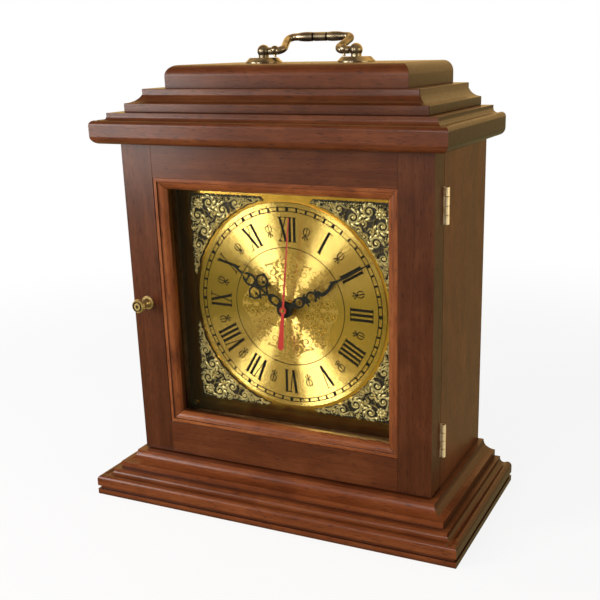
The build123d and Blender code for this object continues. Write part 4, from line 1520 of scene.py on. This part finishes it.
@dataclass
class DialPrint:
    """Numerals, minute track, flowers and thin circles printed on the dial, and its engraved centre."""

    film: float = 0.06
    print_turn: float = 0.6
    numeral_foot: float = 57.0
    numeral_top: float = 78.0
    thick: float = 2.35
    hairline: float = 0.85
    serif: float = 0.6
    track_inner: float = 82.8
    track_outer: float = 86.2
    line: float = 0.3
    minute_mark: float = 1.7
    five_minute_mark: float = 2.9
    circle_radius: float = 52.0
    slant_weight: float = 1.05
    vee_inset: float = 1.5
    vee_shift: float = 0.3
    serif_reach: float = 0.8
    flower_foot: float = 61.5
    pen: float = 0.44
    petal: tuple[Flat, ...] = ((0.0, 4.2), (1.7, 4.8), (2.7, 6.6), (2.6, 8.6), (1.4, 10.4))
    leaf: tuple[Flat, ...] = ((0.0, 3.6), (1.3, 2.9), (2.2, 1.8))
    stem: Flat = (0.4, 10.6)
    side_bud: Solid = (2.2, 1.5, 0.75)
    end_buds: tuple[Flat, Flat] = ((0.5, 0.8), (10.8, 0.6))
    rosette_radius: float = 46.0
    rosette_lobe: float = 5.0
    rosette_lobes: int = 8
    rosette_steps: int = 240
    stipple: float = 0.012
    cut: float = 0.03
    hub: float = 9.0
    seam: float = 0.3
    scroll_sizes: tuple[float, ...] = (5.4, 4.4, 3.6, 2.8, 2.1, 1.6, 1.2)
    scroll_spans: tuple[Flat, Flat] = ((0.0, 34.0), (8.0, 47.0))
    scroll_seed: int = 11
    scroll_tries: int = 600
    hand_seed: int = 5
    numerals: tuple[str, ...] = ("XII", "I", "II", "III", "IIII", "V", "VI", "VII", "VIII", "IX", "X", "XI")
    widths: dict[str, float] = field(default_factory=lambda: {"I": 4.3, "V": 8.8, "X": 8.6})

    def slanted(self, foot: float, top: float, width: float) -> list[Flat]:
        """Outline of a slanted bar of that width, from its middle at the foot to its middle at the top."""
        low, high, half = self.numeral_foot, self.numeral_top, width / 2
        return [(foot - half, low), (foot + half, low), (top + half, high), (top - half, high)]

    def letter(self, drawing: Drawing, turn: float, sign: str, middle: float) -> None:
        """Draws one sign of a numeral.

        Args:
            drawing: the drawing that takes it.
            turn: the numeral's turn round the dial, in radians.
            sign: I, V or X.
            middle: its middle across the numeral.
        """
        low, high, thin = self.numeral_foot, self.numeral_top, self.serif
        reach = self.widths["V"] / 2 - self.vee_inset
        left, right = middle - reach, middle + reach
        heavy, fine = self.thick * self.slant_weight, self.hairline
        strokes, feet, tops = {
            "I": ([(middle, middle, self.thick)], [middle], [middle]),
            "V": ([(middle, left, heavy), (middle + self.vee_shift, right, fine)], [], [left, right]),
            "X": ([(right, left, heavy), (left, right, fine)], [left, right], [left, right]),
        }[sign]
        half = self.thick / 2 + self.serif_reach
        bars = [self.slanted(*stroke) for stroke in strokes]
        bars += [upright_bar(foot, half, low, low + thin) for foot in feet]
        bars += [upright_bar(top, half, high - thin, high) for top in tops]
        for bar in bars:
            drawing.slab([turned(corner, turn) for corner in bar], 0.0, self.film)

    def draw_numerals(self, drawing: Drawing) -> None:
        """Draws the numerals, each with its foot to the centre.

        Args:
            drawing: the drawing that takes them.
        """
        for hour, numeral in enumerate(self.numerals):
            turn = math.radians(30 * hour + self.print_turn)
            across = -sum(self.widths[sign] for sign in numeral) / 2
            for sign in numeral:
                self.letter(drawing, turn, sign, across + self.widths[sign] / 2)
                across += self.widths[sign]

    def mark(self, width: float) -> bpy.types.Mesh:
        """Minute mark at twelve, about the dial's axis.

        Args:
            width: its width.

        Returns:
            Its mesh.
        """
        drawing = Drawing(self.face_y(), 0.0)
        bar = upright_bar(0.0, width / 2, self.track_inner, self.track_outer)
        drawing.slab(bar, 0.0, self.film)
        return drawing.mesh("minute_mark", False)

    def flower(self) -> bpy.types.Mesh:
        """Small tulip at twelve, about the dial's axis: an open cup on a stem, with leaves and buds.

        Returns:
            Its mesh.
        """
        drawing = Drawing(self.face_y(), 0.0, Relief.FLAT)
        foot = self.flower_foot
        across, up, radius = self.side_bud
        for side in (-1, 1):
            for path in (self.petal, self.leaf):
                fine = smooth_path([(side * x, foot + z) for x, z in path])
                drawing.stroke(fine, [self.pen] * len(fine), 0.0, self.film)
            drawing.boss((side * across, foot + up), radius, 0.0, self.film)
        drawing.stroke([(0, foot + z) for z in self.stem], [self.pen] * 2, 0.0, self.film)
        for up, radius in self.end_buds:
            drawing.boss((0, foot + up), radius, 0.0, self.film)
        return drawing.mesh("tulip", False)

    @staticmethod
    def face_y() -> float:
        """Plane of the dial disc's face."""
        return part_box("dial_disc")[0].y

    @staticmethod
    def centre_z() -> float:
        """Height of the dial's centre."""
        low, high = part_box("dial_disc")
        return (low.z + high.z) / 2

    def rosette_reach(self, angle: float) -> float:
        """Reach of the engraved rosette's lobed edge in that direction."""
        return self.rosette_radius - self.rosette_lobe * (1 - math.cos(self.rosette_lobes * angle)) / 2

    def stippled_ground(self) -> bpy.types.Mesh:
        """Matt ground of the engraved rosette.

        Returns:
            Its mesh.
        """
        drawing = Drawing(self.face_y(), self.centre_z())
        edge = [math.tau * step / self.rosette_steps for step in range(self.rosette_steps)]
        outline = [turned((0.0, self.rosette_reach(angle)), angle) for angle in edge]
        drawing.slab(outline, 0.0, self.stipple)
        return drawing.mesh("rosette_ground", False)

    def inside_eighth(self, x: float, z: float) -> float:
        """Distance inside one eighth of the rosette.

        Args:
            x: place across the dial.
            z: place up the dial.

        Returns:
            The distance to its nearest edge, positive inside.
        """
        reach = math.hypot(x, z)
        angle = math.atan2(x, z)
        edge = self.rosette_reach(angle) - reach
        slant = reach * math.sin(math.pi / 4 - angle)
        return min(edge, reach - self.hub, x + self.seam, slant + self.seam)

    def engraving(self) -> bpy.types.Mesh:
        """Arabesque of scrolls round the centre: one part of it, turned and mirrored eightfold.

        Returns:
            Its mesh.
        """
        drawing = Drawing(self.face_y(), self.centre_z(), Relief.FLAT)
        circles = spiral_packing(
            self.inside_eighth, self.scroll_spans, self.scroll_sizes, self.scroll_seed, self.scroll_tries
        )
        draw = random.Random(self.hand_seed)
        for x, z, radius in circles:
            start = draw.uniform(0, 360)
            hand = draw.choice((-1, 1))
            for quarter in range(4):
                for flip in (1, -1):
                    spot = turned((flip * x, z), math.radians(90 * quarter))
                    facing = (start if flip > 0 else 180 - start) - 90 * quarter
                    drawing.acanthus(spot, radius, facing, hand * flip, 0.0, self.cut)
        return drawing.mesh("dial_engraving", False)

    @staticmethod
    def lay(name: str, mesh: bpy.types.Mesh, slot: str, finish: bpy.types.Material | None = None) -> None:
        """Lays a piece on the dial."""
        finish_piece(add_object(name, mesh), "case", finish)

    def build(self, ring: NodeTree) -> None:
        """Builds what is printed and engraved on the dial.

        Args:
            ring: the tree that sets copies round the dial.
        """
        ink = Paint(srgb(24, 15, 8), 0.6, sheen=0.1).material("dial_ink")
        fine_ink = Paint(srgb(38, 24, 9), 0.6, sheen=0.1).material("fine_dial_ink")
        drawing = Drawing(self.face_y(), self.centre_z())
        self.draw_numerals(drawing)
        for radius in (self.track_inner, self.track_outer):
            drawing.ring(radius, self.line, 0.0, self.film)
        self.lay("dial_numerals", drawing.mesh("dial_numerals", False), "black_enamel", ink)
        circle = Drawing(self.face_y(), self.centre_z())
        circle.ring(self.circle_radius, self.line, 0.0, self.film)
        self.lay("dial_circle", circle.mesh("dial_circle", False), "black_enamel", fine_ink)
        height = self.centre_z()
        first = math.radians(self.print_turn)
        minutes = {"Count": 60, "First": first, "Group": 5, "Least": 1, "Height": height}
        fives = {"Count": 12, "First": first, "Group": 1, "Least": 0, "Height": height}
        flowers = {"Count": 12, "First": first + math.pi / 12, "Group": 1, "Least": 0, "Height": height}
        for name, motif, values, finish in (
            ("minute_marks", self.mark(self.minute_mark), minutes, ink),
            ("five_minute_marks", self.mark(self.five_minute_mark), fives, ink),
            ("dial_flowers", self.flower(), flowers, fine_ink),
        ):
            self.lay(name, ring.run(name, motif, values, finish), "black_enamel")
        matt = Metal(srgb(190, 152, 76), srgb(170, 132, 62), 0.46, 900.0, 0.6, 0.2).material("stippled_brass")
        self.lay("rosette_ground", self.stippled_ground(), "dial_brass", matt)
        polish = SpunBrass(self.centre_z(), srgb(254, 214, 126), srgb(238, 188, 102))
        self.lay("dial_engraving", self.engraving(), "dial_brass", polish.material("engraved_brass"))


def smooth_path(points: Sequence[Flat], parts: int = 5) -> list[Flat]:
    """Rounded path through a few points.

    Args:
        points: the points.
        parts: pieces for each stretch.

    Returns:
        The path.
    """
    path: list[Flat] = []
    count = len(points)
    for index in range(count - 1):
        p0, p1 = Vector(points[max(index - 1, 0)]), Vector(points[index])
        p2, p3 = Vector(points[index + 1]), Vector(points[min(index + 2, count - 1)])
        for part in range(parts):
            t = part / parts
            bend = (2 * p0 - 5 * p1 + 4 * p2 - p3) * t ** 2
            swing = (3 * p1 - p0 - 3 * p2 + p3) * t ** 3
            spot = 0.5 * (2 * p1 + (p2 - p0) * t + bend + swing)
            path.append((spot.x, spot.y))
    path.append(tuple(points[-1]))
    return path


@dataclass
class DialMetal:
    """Plate and disc of the dial, and its screws."""

    screw_radius: float = 0.0022
    screw_depth: float = 0.0012
    screw_slot: float = 0.0006
    screw_seed: int = 4
    plate: Metal = Metal(
        srgb(244, 190, 92), srgb(228, 172, 78), 0.2, clouds=60.0, clouding=0.18, scratch=0.03
    )
    screw: Metal = Metal(srgb(206, 164, 88), srgb(150, 108, 52), 0.28)

    def build(self, screws: NodeTree) -> None:
        """Dresses the plate and the disc and builds the screw heads.

        Args:
            screws: the tree that sets slotted heads.
        """
        dress_nodes(self.plate.material("plate_brass"), "dial_plate")
        dress_nodes(SpunBrass(DialPrint.centre_z()).material("spun_brass"), "dial_disc")
        low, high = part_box("dial_plate_screws")
        points = [
            (x, low.y + self.screw_depth / 2, z)
            for x in (low.x + self.screw_radius, high.x - self.screw_radius)
            for z in (low.z + self.screw_radius, high.z - self.screw_radius)
        ]
        sizes = {
            "Radius": self.screw_radius,
            "Depth": self.screw_depth,
            "Slot": self.screw_slot,
            "Seed": self.screw_seed,
        }
        heads = point_mesh("dial_screw_points", points)
        mesh = screws.run("dial_screw_heads", heads, sizes, self.screw.material("screw_brass"))
        finish_piece(add_object("dial_screw_heads", mesh), "case", None, ["dial_plate_screws"])


@dataclass
class CarryHandle:
    """Two posts, and the bail that swings between them."""

    aged: Metal = Metal(
        srgb(160, 147, 120), srgb(64, 55, 43), 0.24, clouds=90.0, clouding=0.75, scratch=0.04, metallic=0.9
    )

    def build(self) -> None:
        """Dresses the posts, and the bail darker in its grooves."""
        dress_nodes(self.aged.material("aged_brass"), "handle_post_left", "handle_post_right")
        dress_nodes(GripMetal(**vars(self.aged)).material("grip_brass"), "handle_bail")


@dataclass
class DoorPull:
    """Turned knob of the door, and its rosette."""

    brass: Metal = Metal(
        srgb(204, 182, 124),
        srgb(126, 104, 58),
        0.3,
        clouds=260.0,
        clouding=0.6,
        scratch=0.04,
        metallic=0.8,
        dark_tone=srgb(64, 48, 20),
    )

    def build(self) -> None:
        """Dresses the knob and the rosette, darker in the knob's sunk rings."""
        low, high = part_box("door_knob")
        axis = ((low.x + high.x) / 2, (low.z + high.z) / 2)
        turned_brass = TurnedMetal(**vars(self.brass), axis=axis, front_y=low.y)
        dress_nodes(turned_brass.material("pull_brass"), "door_knob", "knob_rosette")


@dataclass
class Hinges:
    """Two butt hinges with their pins and screws."""

    bright: Metal = Metal(
        srgb(255, 238, 200),
        srgb(236, 210, 160),
        0.42,
        clouds=300.0,
        clouding=0.4,
        scratch=0.05,
        metallic=0.55,
    )
    # Dark pin metal: painted shade that darkens the gaps between the knuckles.
    pin_shade: Metal = Metal(srgb(70, 54, 34), srgb(40, 30, 20), 0.5)

    def build(self) -> None:
        """Dresses the leaves and the screws bright, and the pins dark as painted shade in the gaps between the
        knuckles.
        """
        leaves = [f"hinge_{part}_leaf_{place}" for part in ("case", "door") for place in ("upper", "lower")]
        dress_nodes(self.bright.material("hinge_brass"), *leaves, "hinge_case_screws", "hinge_door_screws")
        dress_nodes(self.pin_shade.material("pin_shade_brass"), "hinge_pins")


@dataclass
class SteelParts:
    """Plain screws, the door's catch and the battery's contacts."""

    steel: Metal = Metal(srgb(170, 170, 172), srgb(120, 120, 122), 0.35)
    nodes: tuple[str, ...] = (
        "base_screws",
        "back_panel_screws",
        "handle_screws",
        "knob_screw",
        "catch_plate",
        "catch_magnet",
        "battery_contacts",
    )

    def build(self) -> None:
        """Dresses them in one steel."""
        dress_nodes(self.steel.material("screw_steel"), *self.nodes)


@dataclass
class Hands:
    """Black hour and minute hands and the red sweep hand."""

    black: Paint = Paint(srgb(16, 13, 12), 0.5, mottle=0.1, grain=900.0, sheen=0.2)
    red: Paint = Paint(srgb(196, 40, 36), 0.38, mottle=0.06, grain=900.0, coat=0.3)

    def build(self) -> None:
        """Dresses the three hands."""
        dress_nodes(self.black.material("black_enamel"), "hour_hand", "minute_hand")
        dress_nodes(self.red.material("red_enamel"), "second_hand")


@dataclass
class Movement:
    """Battery movement behind the dial."""

    brass: Metal = Metal(srgb(212, 172, 96), srgb(168, 124, 60), 0.25)
    copper: Metal = Metal(srgb(196, 110, 62), srgb(150, 76, 40), 0.35, clouds=900.0)
    shell: Paint = Paint(srgb(26, 26, 27), 0.55, mottle=0.2, grain=1800.0)
    wheel: Paint = Paint(srgb(226, 224, 216), 0.35, mottle=0.08, grain=900.0)
    board: Paint = Paint(srgb(26, 66, 40), 0.4, mottle=0.3, grain=500.0)
    wrap: Paint = Paint(srgb(44, 44, 48), 0.3, mottle=0.1, grain=300.0, coat=0.3)

    def build(self) -> None:
        """Dresses the shells, the works and the cell."""
        bush = ("movement_bush", "bush_washer", "bush_nut")
        dress_nodes(self.brass.material("works_brass"), *bush, "minute_arbor", "second_arbor")
        shells = ("movement_front_shell", "movement_back_shell", "set_knob")
        dress_nodes(self.shell.material("black_plastic"), *shells)
        dress_nodes(self.wheel.material("white_plastic"), "hour_wheel", "motion_wheel")
        dress_nodes(self.board.material("circuit_lacquer"), "circuit_board")
        dress_nodes(self.wrap.material("battery_wrap"), "battery")
        dress_nodes(self.copper.material("coil_copper"), "stepper_coil")


@dataclass(frozen=True)
class Lamp:
    """Window-like lamp that faces the clock."""

    name: str
    way: Solid
    size: Flat
    power: float
    lean: float = 0.0
    colour: Solid = (1.0, 0.97, 0.95)

    def build(self, target: Solid, distance: float) -> None:
        """Adds the lamp, turned about its own axis by its lean.

        Args:
            target: the point that it faces.
            distance: its distance from that point.
        """
        light = bpy.data.lights.new(self.name, "AREA")
        light.shape = "RECTANGLE"
        light.size, light.size_y = self.size
        light.color = self.colour
        light.energy = self.power
        holder = bpy.data.objects.new(self.name, light)
        bpy.context.scene.collection.objects.link(holder)
        towards = Vector(self.way).normalized()
        holder.location = Vector(target) + towards * distance
        lean = Matrix.Rotation(math.radians(self.lean), 3, "Z")
        holder.rotation_euler = (towards.to_track_quat("Z", "Y").to_matrix() @ lean).to_euler()


@dataclass
class Studio:
    """Pale ground, soft lamps and the camera."""

    eye: Solid = (0.3617, -0.7067, 0.3916)
    yaw: float = 0.42927
    pitch: float = 0.30675
    roll: float = -0.019225
    lens: float = 56.008
    shift: Flat = (-0.0677, 0.0713)
    sensor: float = 36.0
    nearest: float = 0.05
    ground_half: float = 12.0
    target: Solid = (0.0, 0.0, 0.18)
    lamp_distance: float = 1.5
    lamps: tuple[Lamp, ...] = (
        Lamp("left_window", (-0.686, -0.666, 0.294), (0.52, 0.56), 14.0, lean=41.0),
        Lamp("front_window", (-0.0955, -0.955, 0.2817), (0.34, 0.6), 7.2, lean=-30.0),
        Lamp("low_window", (-0.64, -0.765, 0.07), (0.26, 0.37), 3.6),
        Lamp("gap_glow", (-0.33, -0.85, 0.41), (0.5, 0.5), 0.7),
        Lamp("front_glow", (0.05, -0.998, -0.02), (0.6, 0.3), 0.7),
        Lamp("right_window", (0.97, -0.2, 0.12), (1.0, 0.9), 7.0, colour=(1.0, 0.86, 0.62)),
    )
    low_fill: Colour = (0.3, 0.3, 0.3, 1.0)
    high_fill: Colour = (0.42, 0.41, 0.42, 1.0)
    front_room: Colour = (0.42, 0.3, 0.18, 1.0)
    back_room: Colour = (1.6, 1.02, 0.38, 1.0)

    def build(self) -> None:
        """Builds the ground, the lamps, the world and the camera."""
        self.ground()
        for lamp in self.lamps:
            lamp.build(self.target, self.lamp_distance)
        self.world()
        self.camera()

    def ground(self) -> None:
        """Builds the floor, which runs far past the picture."""
        half = self.ground_half
        corners = [(-half, -half, 0), (half, -half, 0), (half, half, 0), (-half, half, 0)]
        mesh = bpy.data.meshes.new("studio_ground")
        mesh.from_pydata(corners, [], [(0, 1, 2, 3)])
        ground = add_object("studio_ground", mesh)
        mesh.materials.append(PaleGround().material("pale_ground"))

    def world(self) -> None:
        """Soft room light: white to the camera, and warm behind and dim in front in reflections."""
        world = bpy.data.worlds.new("studio")
        bpy.context.scene.world = world
        world.use_nodes = True
        shader = Shader.of_tree(world.node_tree)
        way = shader.node("ShaderNodeTexCoord", output="Generated")
        room = shader.mix(shader.axis(way, "Y").above(-0.1, 0.7), self.front_room, self.back_room)
        sky = shader.mix(shader.axis(way, "Z").above(-0.1, 0.9), self.low_fill, self.high_fill)
        fill = shader.node("ShaderNodeBackground", None, {"Color": sky, "Strength": 1.0})
        mirrored = shader.node("ShaderNodeBackground", None, {"Color": room, "Strength": 1.0})
        white = shader.node("ShaderNodeBackground", None, {"Color": (1, 1, 1, 1), "Strength": 1.0})
        seen = shader.node("ShaderNodeLightPath", output="Is Camera Ray")
        glossy = shader.node("ShaderNodeLightPath", output="Is Glossy Ray")
        plain = shader.node("ShaderNodeMixShader", None, {0: glossy, 1: fill, 2: mirrored})
        whole = shader.node("ShaderNodeMixShader", None, {0: seen, 1: plain, 2: white})
        shader.end(whole, "ShaderNodeOutputWorld")

    def camera(self) -> None:
        """Camera at the photograph's place."""
        lens = bpy.data.cameras.new("camera")
        lens.sensor_width = self.sensor
        lens.lens = self.lens
        lens.shift_x, lens.shift_y = self.shift
        lens.clip_start = self.nearest
        holder = bpy.data.objects.new("camera", lens)
        bpy.context.scene.collection.objects.link(holder)
        ahead = Vector((
            -math.sin(self.yaw) * math.cos(self.pitch),
            math.cos(self.yaw) * math.cos(self.pitch),
            -math.sin(self.pitch),
        ))
        level = Vector((math.cos(self.yaw), math.sin(self.yaw), 0))
        above = level.cross(ahead)
        right = level * math.cos(self.roll) + above * math.sin(self.roll)
        up = above * math.cos(self.roll) - level * math.sin(self.roll)
        turn = Matrix((right, up, -ahead)).transposed().to_4x4()
        holder.matrix_world = Matrix.Translation(self.eye) @ turn
        bpy.context.scene.camera = holder


def main() -> None:
    """Builds the clock's pieces, its finishes and the studio, in order."""
    logging.basicConfig(level=logging.INFO, format="%(name)s: %(message)s")
    bpy.context.scene.view_settings.view_transform = "Standard"
    WoodenCase().build()
    GlazedDoor().build()
    for fitting in (CarryHandle(), DoorPull(), Hinges(), SteelParts(), Hands(), Movement()):
        fitting.build()
    DialMetal().build(screw_tree())
    DialPrint().build(ring_tree())
    CornerOrnaments().build(bead_tree())
    Studio().build()


if __name__ == "__main__":
    main()
